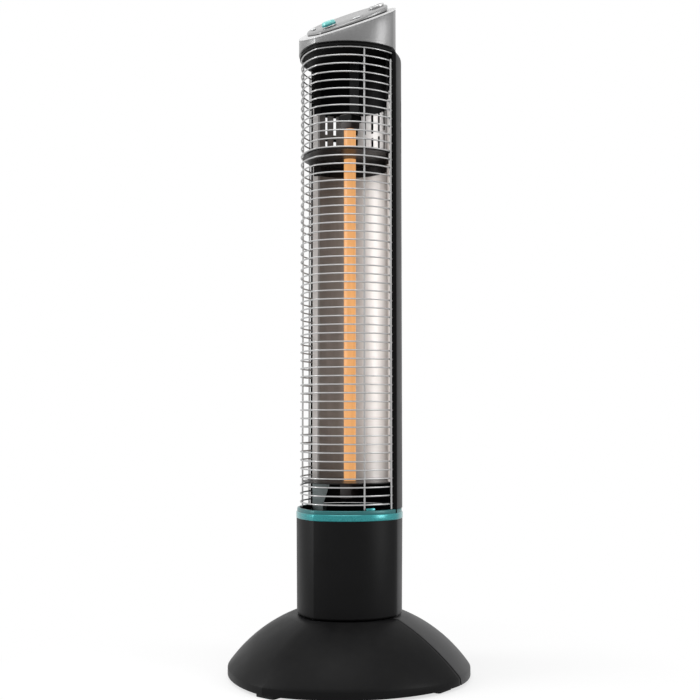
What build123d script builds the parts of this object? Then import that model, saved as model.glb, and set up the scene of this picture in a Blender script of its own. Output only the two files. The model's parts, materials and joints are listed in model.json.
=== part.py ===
from build123d import *
import os
from math import acos, asin, atan2, ceil, cos, degrees, hypot, pi, radians, sin, sqrt, tan

# A radiant tower heater. The column stands on a domed base and turns on it.
# Millimetres. X runs to the right, the nose of the column points along -Y, Z is up.
# The pieces are drawn about the column's turning axis, then moved so that the
# middle of the base's footprint is the origin.

# Plan of the column: two bowed front faces that meet at a nose, and a round back
nose_reach = 67.5
face_radius = 74.4
face_offset = 10.4
back_reach = 59.0
rear_radius = 64.9
face_strips = 8
back_strips = 14

# General walls and clearances
shell_wall = 2.5
seat_gap = 0.3
running_gap = 0.05
sheet_wall = 0.8

# Base
foot_height = 3.5
rim_half_width = 144.4
rim_height = 8.5
dome_height = 56.5
dome_top_half_width = 70.0
dome_arc_radius = 170.0
dome_bands = 6
hollow_bands = 3
base_floor = 2.5
neck_radius = 33.0
foot_length = 26.0
foot_width = 14.0
foot_corner = 3.0
foot_setback = 10.5
side_foot_setback = 14.4
side_foot_place = -8.0
ballast_window_gap = 4.5
ballast_side_rim = 36.0
ballast_end_rim = 26.0
ballast_corner_rim = 12.0
ballast_thickness = 10.0
inlet_size = 12.0
inlet_length = 10.0
inlet_bore_radius = 3.6
inlet_height = 9.5

# Turning bearing, motor and gears
swivel_gap = 1.0
hub_radius = 29.9
hub_wall = 6.0
bearing_floor = 40.5
bearing_plate_size = 124.0
bearing_plate_thickness = 4.0
bearing_wall = 6.0
bearing_drop = 6.0
bearing_rise = 1.0
post_width = 12.0
post_setback = 8.0
washer_thickness = 1.7
flats = 8
gear_module = 1.5
sector_teeth = 72
pinion_teeth = 12
pressure_angle = 20.0
gear_backlash = 0.3
addendum_factor = 0.8
dedendum_factor = 1.25
gear_thickness = 5.0
swing_angle = 35.0
sector_margin = 12.0
nut_thickness = 2.7
motor_radius = 24.0
motor_height = 16.0
motor_floor = 4.0
motor_shaft_radius = 3.0

# Tilt switch under the base
tilt_reach = 60.0
plunger_width = 8.0
plunger_travel = 3.5
plunger_length = 26.0
collar_width = 14.0
collar_thickness = 2.0
tilt_body_length = 26.0
tilt_body_width = 19.0
tilt_body_height = 27.0

# Lower column
cover_height = 110.1
cover_taper = 1.0
cover_round = 5.0
cover_bands = 3
turntable_thickness = 3.0
trim_height = 11.8
trim_depth = 4.0
trim_proud = 0.4
trim_bevel = 2.6
tab_reach = 50.8
tab_inset = 4.2
tab_length = 10.6
tab_depth = 3.0
tab_rise = 2.5
deck_thickness = 4.0
terminal_length = 36.0
terminal_width = 13.0
terminal_height = 14.0
terminal_place = -40.0

# Wire grille
wire_pitch = 9.7
wire_count = 55
wire_size = 2.0
wire_inset = 4.6
wire_bends = 5
first_wire_rise = 6.3
upright_size = 2.4
upright_reach = 46.0
end_upright_reach = 59.6

# Pillars beside the grille
pillar_width = 7.6
pillar_front = 3.2
pillar_lip = 2.2
groove_depth = 1.0

# Heating chamber
plate_thickness = 3.0
plate_inset = 6.6
lower_plate_rise = 27.6
chamber_height = 381.0
reflector_radius = 52.5
reflector_reach = 46.0
reflector_flange = 8.0
reflector_strips = 12
tube_radius = 7.1
tube_wall = 1.2
tube_overrun = 10.0
tube_top_rise = 33.4
tube_cap_width = 17.2
tube_cap_length = 18.0
tube_seat = 7.0
filament_width = 7.0
filament_thickness = 0.6
hanger_width = 14.0
hanger_wall = 1.2
hanger_band = 7.0
hanger_band_drop = 2.0
cutout_size = 16.0
cutout_thickness = 5.0
cutout_level = 0.9
shield_top = 27.0
shield_bottom = 16.0
shield_foot = 6.0

# Vents
vent_pitch = 12.0
vent_width = 3.4
side_vent_width = 5.0
side_vent_first = 54.0
side_vent_pitch = 12.0
rear_vent_first = 51.5
rear_vent_pitch = 10.0
vent_lower_height = 32.0
vent_bridge = 5.0
vent_upper_height = 25.0
vent_rise = 1.0
vent_margin = 7.6
inlet_vent_rise = 11.0
inlet_vent_height = 15.0
rear_shell_wall = 2.2
shoulder_radius = 10.0
shoulder_bands = 3

# Top frame, cap and control head
frame_thickness = 4.7
frame_inset = 2.6
cap_inset = 1.4
cap_back_reach = 49.0
cap_back_radius = 66.5
cap_rise = 43.5
cap_slope = 28.8
cap_wall = 2.5
pod_inset = 9.6
pod_rise = 5.2
pod_tilt = 2.0
pod_centre = -13.0
pod_wall = 2.0
pod_bevel = 1.6
pod_ledge = 3.0
board_thickness = 1.6
board_front = 44.0
board_middle = 22.0
board_back = 48.0
board_half_width = 53.0
board_nose_half_width = 24.0
board_back_half_width = 36.0
power_knob_radius = 8.9
power_knob_height = 6.0
timer_knob_radius = 9.8
timer_knob_height = 2.6
knob_gap = 0.5
knob_bevel = 0.6
knob_strips = 36
shaft_radius = 2.5
shaft_entry = 3.0
switch_width = 7.0
power_knob_place = (0.0, -27.6)
timer_knob_place = (26.5, 38.8)
button_place = (32.7, -16.3)
button_turn = 53.8
button_length = 9.6
button_width = 5.2
button_proud = 1.3
button_travel = 0.8
button_depth = 4.0
button_lip = 0.8
micro_switch_width = 4.4

# Derived centres of the plan's three circles
face_centre = -nose_reach + sqrt(face_radius**2 - face_offset**2)
rear_centre = back_reach - rear_radius
cap_back_centre = cap_back_reach - cap_back_radius

# Derived levels
floor_plate_top = foot_height + base_floor
rim_top = foot_height + rim_height
dome_top = rim_top + dome_height
column_bottom = dome_top + swivel_gap
ring_bottom = column_bottom + cover_height
ring_top = ring_bottom + trim_height
deck_surface = ring_bottom + deck_thickness
first_wire = ring_top + first_wire_rise
last_wire = first_wire + (wire_count - 1) * wire_pitch
frame_bottom = last_wire + wire_size / 2 + seat_gap
column_top = frame_bottom + frame_thickness
lower_plate_bottom = ring_top + lower_plate_rise
lower_plate_top = lower_plate_bottom + plate_thickness
mid_plate_bottom = lower_plate_top + chamber_height
mid_plate_top = mid_plate_bottom + plate_thickness
bearing_plate_bottom = foot_height + bearing_floor
bearing_plate_top = bearing_plate_bottom + bearing_plate_thickness
gear_bottom = bearing_plate_top + bearing_rise + washer_thickness + seat_gap
gear_top = gear_bottom + gear_thickness
nut_top = bearing_plate_bottom - bearing_drop - seat_gap
hub_bottom = nut_top - nut_thickness
gear_distance = gear_module * (sector_teeth + pinion_teeth) / 2
tube_bottom = lower_plate_bottom - tube_overrun
upper_cap_bottom = mid_plate_top + tube_top_rise
tube_top = upper_cap_bottom + tube_seat
reflector_centre = reflector_reach - reflector_radius


def circle_meeting(first_x, first_y, first_r, second_x, second_y, second_r):
    # The crossing of two circles that lies further to the right
    apart = hypot(second_x - first_x, second_y - first_y)
    along = (first_r**2 - second_r**2 + apart**2) / (2 * apart)
    across = sqrt(first_r**2 - along**2)
    step_x = (second_x - first_x) / apart
    step_y = (second_y - first_y) / apart
    return (first_x + along * step_x - across * step_y, first_y + along * step_y + across * step_x)


def arc_points(centre_x, centre_y, radius, first, last, strips):
    turns = [first + (last - first) * step / strips for step in range(strips + 1)]
    return [(centre_x + radius * cos(turn), centre_y + radius * sin(turn)) for turn in turns]


def outline_points(inset, size, back_centre, back_radius):
    # Two bowed faces and a round back, laid in narrow straight strips
    face_x = -face_offset * size
    face_y = face_centre * size
    face_r = face_radius * size - inset
    back_y = back_centre * size
    back_r = back_radius * size - inset
    corner = circle_meeting(face_x, face_y, face_r, 0.0, back_y, back_r)
    nose_turn = -acos(-face_x / face_r)
    corner_turn = atan2(corner[1] - face_y, corner[0] - face_x)
    back_turn = atan2(corner[1] - back_y, corner[0])
    right = arc_points(face_x, face_y, face_r, nose_turn, corner_turn, face_strips)
    back = arc_points(0.0, back_y, back_r, back_turn, pi - back_turn, back_strips)
    left = [(-x, y) for x, y in reversed(right)]
    return right + back[1:-1] + left[:-1]


def filled(points):
    return make_face(Polyline(*points, close=True))


def plan(inset=0.0):
    return filled(outline_points(inset, 1.0, rear_centre, rear_radius))


def cap_plan(inset=0.0):
    return filled(outline_points(inset, 1.0, cap_back_centre, cap_back_radius))


corner_x, corner_y = circle_meeting(-face_offset, face_centre, face_radius, 0.0, rear_centre, rear_radius)
base_size = rim_half_width / corner_x
footprint_shift = base_size * (nose_reach - back_reach) / 2
far = 4 * rim_half_width


def slab(sketch, bottom, top):
    return extrude(Pos(0, 0, bottom) * sketch, top - bottom)


def tapered(lower_inset, upper_inset, bottom, top):
    lower = Pos(0, 0, bottom) * plan(lower_inset)
    upper = Pos(0, 0, top) * plan(upper_inset)
    return loft([lower, upper], ruled=True)


def block(x_low, x_high, y_low, y_high, z_low, z_high):
    middle = Pos((x_low + x_high) / 2, (y_low + y_high) / 2, (z_low + z_high) / 2)
    return middle * Box(x_high - x_low, y_high - y_low, z_high - z_low)


def rod(radius, bottom, top, x=0.0, y=0.0):
    return Pos(x, y, (bottom + top) / 2) * Cylinder(radius, top - bottom)


def tube(outer, inner, bottom, top, x=0.0, y=0.0):
    # The bore is cut a little long, so that it is open at both ends
    return rod(outer, bottom, top, x, y) - rod(inner, bottom - 1, top + 1, x, y)


def bar(width, depth, bottom, top, x=0.0, y=0.0):
    return block(x - width / 2, x + width / 2, y - depth / 2, y + depth / 2, bottom, top)


def mirrored(piece):
    return mirror(piece, about=Plane.YZ)


def group(pieces):
    # Separate solids that are one node
    first, *others = pieces
    return first.fuse(*others)


# Base


def dome_profile(bands):
    # The dome's side profile is one arc from the rim to the top
    run = rim_half_width - dome_top_half_width
    half_chord = hypot(run, dome_height) / 2
    back_off = sqrt(dome_arc_radius**2 - half_chord**2)
    centre_x = (rim_half_width + dome_top_half_width - back_off * dome_height / half_chord) / 2
    centre_z = (rim_top + dome_top - back_off * run / half_chord) / 2
    first = atan2(rim_top - centre_z, rim_half_width - centre_x)
    last = atan2(dome_top - centre_z, dome_top_half_width - centre_x)
    turns = [first + (last - first) * step / bands for step in range(bands + 1)]
    return [
        (centre_x + dome_arc_radius * cos(turn), centre_z + dome_arc_radius * sin(turn))
        for turn in turns
    ]


def base_outline(half_width, level):
    # The column's plan, enlarged about its axis
    size = half_width / corner_x
    return [(x, y, level) for x, y in outline_points(0.0, size, rear_centre, rear_radius)]


def base_body(wall, bands):
    # The whole outside of the base, or its hollow inside a wall
    sections = [base_outline(rim_half_width - wall, foot_height - wall)]
    for half_width, level in dome_profile(bands):
        sections.append(base_outline(half_width - wall, level - wall))
    faces = [Face(Wire.make_polygon(sections[0])), Face(Wire.make_polygon(sections[-1]))]
    for lower, upper in zip(sections, sections[1:]):
        for index in range(len(lower)):
            corners = (lower[index - 1], lower[index], upper[index], upper[index - 1])
            faces.append(Face(Wire.make_polygon(corners)))
    return Solid(Shell(faces))


def rear_wedge():
    # Everything behind the two side corners
    side_y = far * corner_y / corner_x
    outline = [(0, 0), (far, side_y), (far, far), (-far, far), (-far, side_y)]
    return slab(filled(outline), -1, dome_top + 1)


def inlet_block(grow):
    # The place of the cord's rubber bush in the back of the base
    back = back_reach * base_size
    level = foot_height + inlet_height
    half = inlet_size / 2 + grow
    return block(-half, half, back - inlet_length - grow, back + 1, level - half, level + half)


def base_shell(front):
    shell = base_body(0.0, dome_bands) - base_body(shell_wall, hollow_bands)
    shell = shell - rod(neck_radius, dome_top - 2 * shell_wall, dome_top + 1)
    if front:
        return shell - rear_wedge()
    return (shell & rear_wedge()) - inlet_block(seat_gap)


def base_plate():
    outline = base_outline(rim_half_width - shell_wall - seat_gap, foot_height)
    plate = slab(filled([(x, y) for x, y, level in outline]), foot_height, floor_plate_top)
    hole = plunger_width + 2 * seat_gap
    return plate - bar(hole, hole, foot_height - 1, floor_plate_top + 1, 0, -tilt_reach)


def rubber_feet():
    pad = chamfer(Rectangle(foot_length, foot_width).vertices(), foot_corner)
    nose_y = -nose_reach * base_size + foot_setback
    back_y = back_reach * base_size - foot_setback
    side_x = rim_half_width - side_foot_setback
    places = (
        (0, nose_y, 0),
        (0, back_y, 0),
        (side_x, side_foot_place, 90),
        (-side_x, side_foot_place, 90),
    )
    return group([slab(Pos(x, y) * Rot(0, 0, turn) * pad, 0, foot_height) for x, y, turn in places])


def ballast_weight():
    # A square frame round the bearing's posts and the tilt switch
    window = 2 * (tilt_reach + tilt_body_width / 2 + ballast_window_gap)
    plate = Rectangle(window + 2 * ballast_side_rim, window + 2 * ballast_end_rim)
    corner = ballast_side_rim + ballast_end_rim - ballast_corner_rim * sqrt(2)
    outline = chamfer(plate.vertices(), corner)
    frame = outline - Rectangle(window, window)
    return slab(frame, floor_plate_top, floor_plate_top + ballast_thickness)


def cord_inlet():
    # A rubber bush in the back of the base, flush with the wall
    level = foot_height + inlet_height
    bore = Rot(90, 0, 0) * Cylinder(inlet_bore_radius, 4 * inlet_length)
    bush = inlet_block(0.0) & base_body(0.0, dome_bands)
    return bush - Pos(0, back_reach * base_size, level) * bore


def flat_ring(inner, outer, bottom, top):
    # A ring with flats inside and outside, each given to the middle of a flat
    stretch = 1 / cos(pi / flats)
    ring = RegularPolygon(outer * stretch, flats) - RegularPolygon(inner * stretch, flats)
    return slab(ring, bottom, top)


def bearing_plate():
    # A plate on four posts, with a bored boss for the hub and a tongue for the motor
    plate = Rectangle(bearing_plate_size, bearing_plate_size)
    tongue_length = gear_distance + motor_radius
    tongue = Pos(0, tongue_length / 2) * Rectangle(2 * motor_radius, tongue_length)
    body = slab(plate + tongue, bearing_plate_bottom, bearing_plate_top)
    boss_bottom = bearing_plate_bottom - bearing_drop
    boss_top = bearing_plate_top + bearing_rise
    bore = hub_radius + running_gap
    body = body + flat_ring(bore - 1, bore + bearing_wall, boss_bottom, boss_top)
    post_reach = bearing_plate_size / 2 - post_setback
    for x in (-post_reach, post_reach):
        for y in (-post_reach, post_reach):
            body = body + bar(post_width, post_width, floor_plate_top, bearing_plate_bottom, x, y)
    body = body - rod(bore, boss_bottom - 1, boss_top + 1)
    shaft_hole = Pos(0, gear_distance) * RegularPolygon(motor_shaft_radius + seat_gap, flats)
    return body - slab(shaft_hole, bearing_plate_bottom - 1, bearing_plate_top + 1)


def thrust_washer():
    bottom = bearing_plate_top + bearing_rise
    outer = hub_radius + running_gap + bearing_wall
    return flat_ring(hub_radius + seat_gap, outer, bottom, bottom + washer_thickness)


def oscillation_motor():
    bottom = bearing_plate_bottom - motor_height
    can = Pos(0, gear_distance) * RegularPolygon(motor_radius, 2 * flats)
    body = slab(can, bottom, bearing_plate_bottom)
    bore_bottom = bottom + motor_floor
    bore = rod(motor_shaft_radius + running_gap, bore_bottom, bearing_plate_bottom + 1, 0, gear_distance)
    return body - bore


def tilt_switch():
    # A hollow body that lets the plunger drop when the base is lifted
    top = floor_plate_top + tilt_body_height
    body = bar(tilt_body_length, tilt_body_width, floor_plate_top, top, 0, -tilt_reach)
    collar_top = floor_plate_top + seat_gap + plunger_travel + collar_thickness + seat_gap
    room = collar_width + 2 * seat_gap
    cavity = bar(room, room, floor_plate_top - 1, collar_top, 0, -tilt_reach)
    bore_width = plunger_width + 2 * seat_gap
    bore_top = seat_gap + plunger_length + seat_gap
    return body - cavity - bar(bore_width, bore_width, collar_top - 1, bore_top, 0, -tilt_reach)


def tilt_plunger():
    stem = bar(plunger_width, plunger_width, seat_gap, seat_gap + plunger_length, 0, -tilt_reach)
    collar_bottom = floor_plate_top + seat_gap + plunger_travel
    collar_top = collar_bottom + collar_thickness
    return stem + bar(collar_width, collar_width, collar_bottom, collar_top, 0, -tilt_reach)


# Gears


def involute(angle):
    return tan(angle) - angle


def tooth_half_angle(radius, teeth):
    # Half the tooth's width, as an angle about the gear's centre
    pitch_radius = gear_module * teeth / 2
    base_radius = pitch_radius * cos(radians(pressure_angle))
    at_pitch = pi / (2 * teeth) - gear_backlash / (4 * pitch_radius)
    lean = acos(min(1.0, base_radius / max(radius, base_radius)))
    return at_pitch + involute(radians(pressure_angle)) - involute(lean)


def toothed_points(teeth, centres):
    # Root, pitch and tip points of each tooth, in order round the gear
    pitch_radius = gear_module * teeth / 2
    root = pitch_radius - dedendum_factor * gear_module
    tip = pitch_radius + addendum_factor * gear_module
    points = []
    for centre in centres:
        rising = [(r, centre - tooth_half_angle(r, teeth)) for r in (root, pitch_radius, tip)]
        falling = [(r, centre + tooth_half_angle(r, teeth)) for r in (tip, pitch_radius, root)]
        points += [(radius * cos(turn), radius * sin(turn)) for radius, turn in rising + falling]
    return points


def drive_pinion():
    # One tooth points at the column's axis, into a gap of the sector
    centres = [-pi / 2 + 2 * pi * index / pinion_teeth for index in range(pinion_teeth)]
    gear = filled(toothed_points(pinion_teeth, centres))
    wheel = slab(Pos(0, gear_distance) * gear, gear_bottom, gear_top)
    shaft_bottom = bearing_plate_bottom - motor_height + motor_floor + seat_gap
    shaft = Pos(0, gear_distance) * RegularPolygon(motor_shaft_radius, flats)
    return wheel + slab(shaft, shaft_bottom, gear_bottom)


def sector_gear():
    # A collar on the hub with teeth only where the swing needs them
    tooth_step = 2 * pi / sector_teeth
    count = 2 * ceil(radians(swing_angle + sector_margin) / tooth_step)
    centres = [pi / 2 + tooth_step * (index - (count - 1) / 2) for index in range(count)]
    points = toothed_points(sector_teeth, centres)
    teeth = filled([(0, 0), *points])
    collar = hub_radius + running_gap
    ring = flat_ring(collar, collar + bearing_wall, gear_bottom, gear_top)
    return ring + slab(teeth, gear_bottom, gear_top) - rod(collar, gear_bottom - 1, gear_top + 1)


# Column foot


def turntable():
    top = column_bottom + turntable_thickness
    plate = slab(plan(shell_wall + cover_taper + seat_gap), column_bottom, top)
    bore = slab(RegularPolygon(hub_radius - hub_wall, flats), nut_top - 1, top + 1)
    return plate + rod(hub_radius, nut_top, top) - bore


def hub_nut():
    # It holds the hub down in its bearing
    outer = hub_radius + running_gap + bearing_wall
    return flat_ring(hub_radius - hub_wall, outer, hub_bottom, nut_top)


def rounded_foot():
    # The foot narrows a little towards the base, and its lower edge is rounded
    sections = []
    for step in range(cover_bands + 1):
        turn = pi / 2 * step / cover_bands
        inset = cover_taper + cover_round * (1 - sin(turn))
        level = column_bottom + cover_round * (1 - cos(turn))
        sections.append(Pos(0, 0, level) * plan(inset))
    sections.append(Pos(0, 0, ring_bottom) * plan())
    return loft(sections, ruled=True)


def lower_cover(front):
    hollow = slab(plan(shell_wall + cover_taper), column_bottom - 1, ring_bottom + 1)
    shell = rounded_foot() - hollow
    y_low, y_high = (-far, corner_y) if front else (corner_y, far)
    return shell & block(-far, far, y_low, y_high, column_bottom, ring_bottom)


def latch_tab():
    # A small catch that stands on the ring at the right face
    across = tab_reach + face_offset
    reach = face_radius - tab_inset
    turn = asin(across / reach)
    outline = Pos(tab_reach, face_centre - reach * cos(turn)) * Rot(0, 0, degrees(turn))
    return slab(outline * Rectangle(tab_length, tab_depth), ring_top - trim_bevel, ring_top + tab_rise)


def trim_ring():
    bevel_bottom = ring_top - trim_bevel
    ring = slab(plan(-trim_proud), ring_bottom, bevel_bottom)
    ring = ring + tapered(-trim_proud, trim_bevel - trim_proud, bevel_bottom, ring_top)
    return ring - slab(plan(trim_depth), ring_bottom - 1, ring_top + 1) + latch_tab()


def lower_deck():
    # A black deck inside the trim ring, on which the pillars stand
    return slab(plan(trim_depth + seat_gap), ring_bottom, ring_bottom + deck_thickness)


def terminal_block():
    bottom = column_bottom + turntable_thickness
    return bar(terminal_length, terminal_width, bottom, bottom + terminal_height, 0, terminal_place)


# Grille


def wire_end():
    # The wires stop a little short of the bottom of the pillars' grooves
    return corner_y - pillar_lip + groove_depth - seat_gap


def wire_line(inset):
    # Points along a bent wire from the left groove round the nose to the right one
    reach = face_radius - inset
    nose = -acos(face_offset / reach)
    end = asin((wire_end() - face_centre) / reach)
    right = arc_points(-face_offset, face_centre, reach, nose, end, wire_bends)
    left = [(-x, y) for x, y in reversed(right[1:])]
    return left + right


def wire_sag():
    # How far a straight stretch of wire cuts inside the face's arc
    return (face_radius - wire_inset) * (1 - cos(pi / 4 / wire_bends))


def upright_outline(x_reach, side, grow=0.0):
    # A square flat against the wires at this reach, in front of them (-1) or behind them (1)
    points = wire_line(wire_inset + side * wire_size / 2)
    size = upright_size + 2 * grow
    for (x_a, y_a), (x_b, y_b) in zip(points, points[1:]):
        if x_a <= x_reach < x_b:
            turn = degrees(atan2(y_b - y_a, x_b - x_a))
            y = y_a + (y_b - y_a) * (x_reach - x_a) / (x_b - x_a)
            middle = Pos(x_reach, y) * Rot(0, 0, turn) * Pos(0, side * upright_size / 2)
            return middle * Rectangle(size, size)


def upright(x_reach, side, missed_wires):
    # An upright wire from the trim ring to the top wire, or to one further down
    top = last_wire + wire_size / 2 - missed_wires * wire_pitch
    return slab(upright_outline(x_reach, side), ring_top + seat_gap, top)


def wire_grille():
    outer = wire_line(wire_inset - wire_size / 2)
    inner = wire_line(wire_inset + wire_size / 2)
    wire = filled([*outer, *reversed(inner)])
    hoop = slab(wire, first_wire - wire_size / 2, first_wire + wire_size / 2)
    hoops = [Pos(0, 0, index * wire_pitch) * hoop for index in range(wire_count)]
    right = upright(upright_reach, 1, 0)
    return group([*hoops, right, mirrored(right)])


def end_uprights():
    right = upright(end_upright_reach, -1, 1)
    return group([right, mirrored(right)])


def side_pillar():
    # A post at the right side corner with a groove for the ends of the wires
    wedge = block(
        corner_x - pillar_width,
        far,
        corner_y - pillar_front,
        corner_y,
        deck_surface,
        frame_bottom,
    )
    post = slab(plan(), deck_surface, frame_bottom) & wedge
    low = ring_bottom
    high = frame_bottom + 1
    wire_outer = wire_inset - wire_size / 2 - seat_gap
    wire_inner = wire_inset + wire_size / 2 + wire_sag() + seat_gap
    rebate = slab(plan(-1.0) - plan(wire_inner), low, high)
    rebate = rebate & block(0, far, -far, corner_y - pillar_lip, low, high)
    groove = slab(plan(wire_outer) - plan(wire_inner), low, high)
    groove = groove & block(0, far, -far, corner_y - pillar_lip + groove_depth, low, high)
    post = post - rebate - groove
    return post - slab(plan(-1.0) - plan(trim_depth + seat_gap), low, ring_top + seat_gap)


# Heating chamber


def trough(radius):
    # The round of the reflector, closed across its front
    flange_y = corner_y + seat_gap
    first = asin((flange_y - reflector_centre) / radius)
    return arc_points(0.0, reflector_centre, radius, first, pi - first, reflector_strips)


def chamber_floor():
    # Inside the wires in front, between the pillars, and inside the reflector behind
    back = trough(reflector_radius - seat_gap)
    back_x, back_y = back[0]
    front_y = corner_y - pillar_front - seat_gap
    front = plan(plate_inset) & Pos(0, front_y - far / 2) * Rectangle(far, far)
    neck = Pos(0, (front_y + back_y) / 2) * Rectangle(2 * back_x, back_y - front_y)
    notch = upright_outline(upright_reach, 1, seat_gap)
    return front + neck + filled(back) - notch - mirrored(notch)


def chamber_plate(bottom):
    hole = Circle(tube_radius + seat_gap)
    return slab(chamber_floor() - hole, bottom, bottom + plate_thickness)


def reflector_section():
    # A bright trough behind the tube, with a flange behind each pillar
    inner = trough(reflector_radius)
    band = filled([*inner, *reversed(trough(reflector_radius + sheet_wall))])
    flange = Pos(inner[0][0] + reflector_flange / 2, inner[0][1] + sheet_wall / 2) * Rectangle(
        reflector_flange, sheet_wall
    )
    return band + flange + mirrored(flange)


def reflector():
    return slab(reflector_section(), lower_plate_top + seat_gap, mid_plate_bottom - seat_gap)


def vent_cut(angle, width, bottom, top, centre, radius):
    # An upright slot through a wall that is round about (0, centre)
    cutter = block(-width / 2, width / 2, radius - 8, radius + 8, bottom, top)
    return Pos(0, centre) * Rot(0, 0, angle) * cutter


def vent_rows():
    lower_bottom = mid_plate_top + vent_rise
    lower_top = lower_bottom + vent_lower_height
    upper_bottom = lower_top + vent_bridge
    return [(lower_bottom, lower_top), (upper_bottom, upper_bottom + vent_upper_height)]


def vent_screen():
    screen_top = vent_rows()[-1][1] + vent_margin
    screen = slab(reflector_section(), mid_plate_top + seat_gap, screen_top)
    cuts = []
    for bottom, top in vent_rows():
        for step in (-2, -1, 0, 1, 2):
            angle = step * vent_pitch
            cuts.append(vent_cut(angle, vent_width, bottom, top, reflector_centre, reflector_radius))
        for step in (0, 1):
            for side in (-1, 1):
                angle = side * (side_vent_first + step * side_vent_pitch)
                cuts.append(
                    vent_cut(angle, side_vent_width, bottom, top, reflector_centre, reflector_radius)
                )
    return screen - cuts


def shelf_opening(clearance):
    # The opening of the rear shell's top, which the frame and the cap fill
    return cap_plan(cap_inset - clearance) & plan(rear_shell_wall + seat_gap - clearance)


def back_outline(inset, front):
    # The round back behind a straight line across the column
    reach = rear_radius - inset
    first = asin((front - rear_centre) / reach)
    return filled(arc_points(0.0, rear_centre, reach, first, pi - first, back_strips))


def rear_body(inset, bottom, drop, front):
    # The round back of the column up to its rounded shoulder
    sections = [Pos(0, 0, bottom) * back_outline(inset, front)]
    for step in range(shoulder_bands + 1):
        turn = pi / 2 * step / shoulder_bands
        level = column_top - drop - shoulder_radius * (1 - sin(turn))
        sections.append(Pos(0, 0, level) * back_outline(inset + shoulder_radius * (1 - cos(turn)), front))
    return loft(sections, ruled=True)


def rear_shell():
    bottom = ring_top + seat_gap
    hollow = rear_body(rear_shell_wall, bottom - 1, rear_shell_wall, corner_y - 1)
    shell = rear_body(0.0, bottom, 0.0, corner_y) - hollow
    shell = shell - slab(shelf_opening(seat_gap), frame_bottom - seat_gap, column_top + 1)
    cuts = []
    for low, high in vent_rows():
        for step in (-1.5, -0.5, 0.5, 1.5):
            cuts.append(vent_cut(step * vent_pitch, vent_width, low, high, rear_centre, rear_radius))
        for step in (0, 1):
            for side in (-1, 1):
                angle = side * (rear_vent_first + step * rear_vent_pitch)
                cuts.append(vent_cut(angle, side_vent_width, low, high, rear_centre, rear_radius))
    low = ring_top + inlet_vent_rise
    high = low + inlet_vent_height
    for step in (-2, -1, 0, 1, 2):
        cuts.append(vent_cut(step * vent_pitch, vent_width, low, high, rear_centre, rear_radius))
    return shell - cuts


def quartz_tube():
    return tube(tube_radius, tube_radius - tube_wall, tube_bottom, tube_top)


def carbon_filament():
    # A flat strip that ends just inside the two blocks
    return bar(filament_width, filament_thickness, tube_bottom + seat_gap, tube_top - seat_gap)


def tube_caps():
    # Two ceramic blocks that close the ends of the tube
    lower_top = lower_plate_bottom - seat_gap
    bore = tube_radius + running_gap
    lower = bar(tube_cap_width, tube_cap_width, lower_top - tube_cap_length, lower_top)
    lower = lower - rod(bore, tube_bottom, lower_top + 1)
    upper_top = upper_cap_bottom + tube_cap_length
    upper = bar(tube_cap_width, tube_cap_width, upper_cap_bottom, upper_top)
    upper = upper - rod(bore, upper_cap_bottom - 1, tube_top)
    return group([lower, upper])


def tube_hanger():
    # A steel strip from the top frame to a band round the upper block
    band_top = upper_cap_bottom + tube_cap_length - hanger_band_drop
    band_bottom = band_top - hanger_band
    inner = tube_cap_width + 2 * running_gap
    outer = inner + 2 * hanger_wall
    band = bar(outer, outer, band_bottom, band_top) - bar(inner, inner, band_bottom - 1, band_top + 1)
    strip_y = (inner + hanger_wall) / 2
    return band + bar(hanger_width, hanger_wall, band_bottom, frame_bottom, 0, strip_y)


def thermal_cutout():
    # It clips to the back of the reflector
    level = lower_plate_top + cutout_level * chamber_height
    front = reflector_reach + sheet_wall
    half = cutout_size / 2
    return block(-half, half, front, front + cutout_thickness, level - half, level + half)


def wiring_shield():
    # A folded sheet at the left that hides the wires to the tube's lower end
    left = -(corner_x - pillar_width) + seat_gap
    top = lower_plate_bottom - seat_gap
    outline = [(left, ring_top), (left + shield_bottom, ring_top), (left + shield_top, top), (left, top)]
    sheet = extrude(Plane.XZ * filled(outline), sheet_wall)
    foot = block(left, left + shield_bottom, -sheet_wall, shield_foot, deck_surface, ring_top)
    return sheet + foot


# Head


def top_frame():
    # It closes the top of the column and carries the cap
    behind = Pos(0, corner_y + far / 2) * Rectangle(2 * far, far)
    outline = (plan(frame_inset) - behind) + (shelf_opening(0.0) & behind)
    return slab(outline, frame_bottom, column_top)


panel = Plane(
    origin=(0, pod_centre, column_top + cap_rise + pod_centre * tan(radians(cap_slope))),
    x_dir=(1, 0, 0),
    z_dir=(0, -sin(radians(cap_slope)), cos(radians(cap_slope))),
)
pod_top = panel.location * Pos(0, 0, pod_rise) * Rot(pod_tilt, 0, 0)
head_top = column_top + cap_rise + far


def half_space(place):
    # All the space above a place's own floor
    return place * Pos(0, 0, far) * Box(4 * far, 4 * far, 2 * far)


def above_panel(offset):
    # All the space above a plane parallel to the sloping panel
    return half_space(panel.location * Pos(0, 0, offset))


def top_cap():
    outside = slab(cap_plan(cap_inset), column_top, head_top) - above_panel(0.0)
    hollow = slab(cap_plan(cap_inset + cap_wall), column_top - 1, head_top) - above_panel(-cap_wall)
    opening = slab(cap_plan(cap_inset + pod_inset + pod_ledge), column_top, head_top)
    return outside - hollow - (opening & above_panel(-3 * cap_wall))


def pod_body(inset, drop):
    # The prism of the pod's outline under its flat top
    prism = slab(cap_plan(cap_inset + pod_inset + inset), column_top, head_top)
    return prism & (above_panel(0.0) - half_space(pod_top * Pos(0, 0, -drop)))


def panel_spot(place):
    # A place on the pod's flat top, with Z along the top's normal
    return pod_top * Pos(*place, 0)


def knob_places():
    return {"power": power_knob_place, "timer": timer_knob_place}


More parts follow.
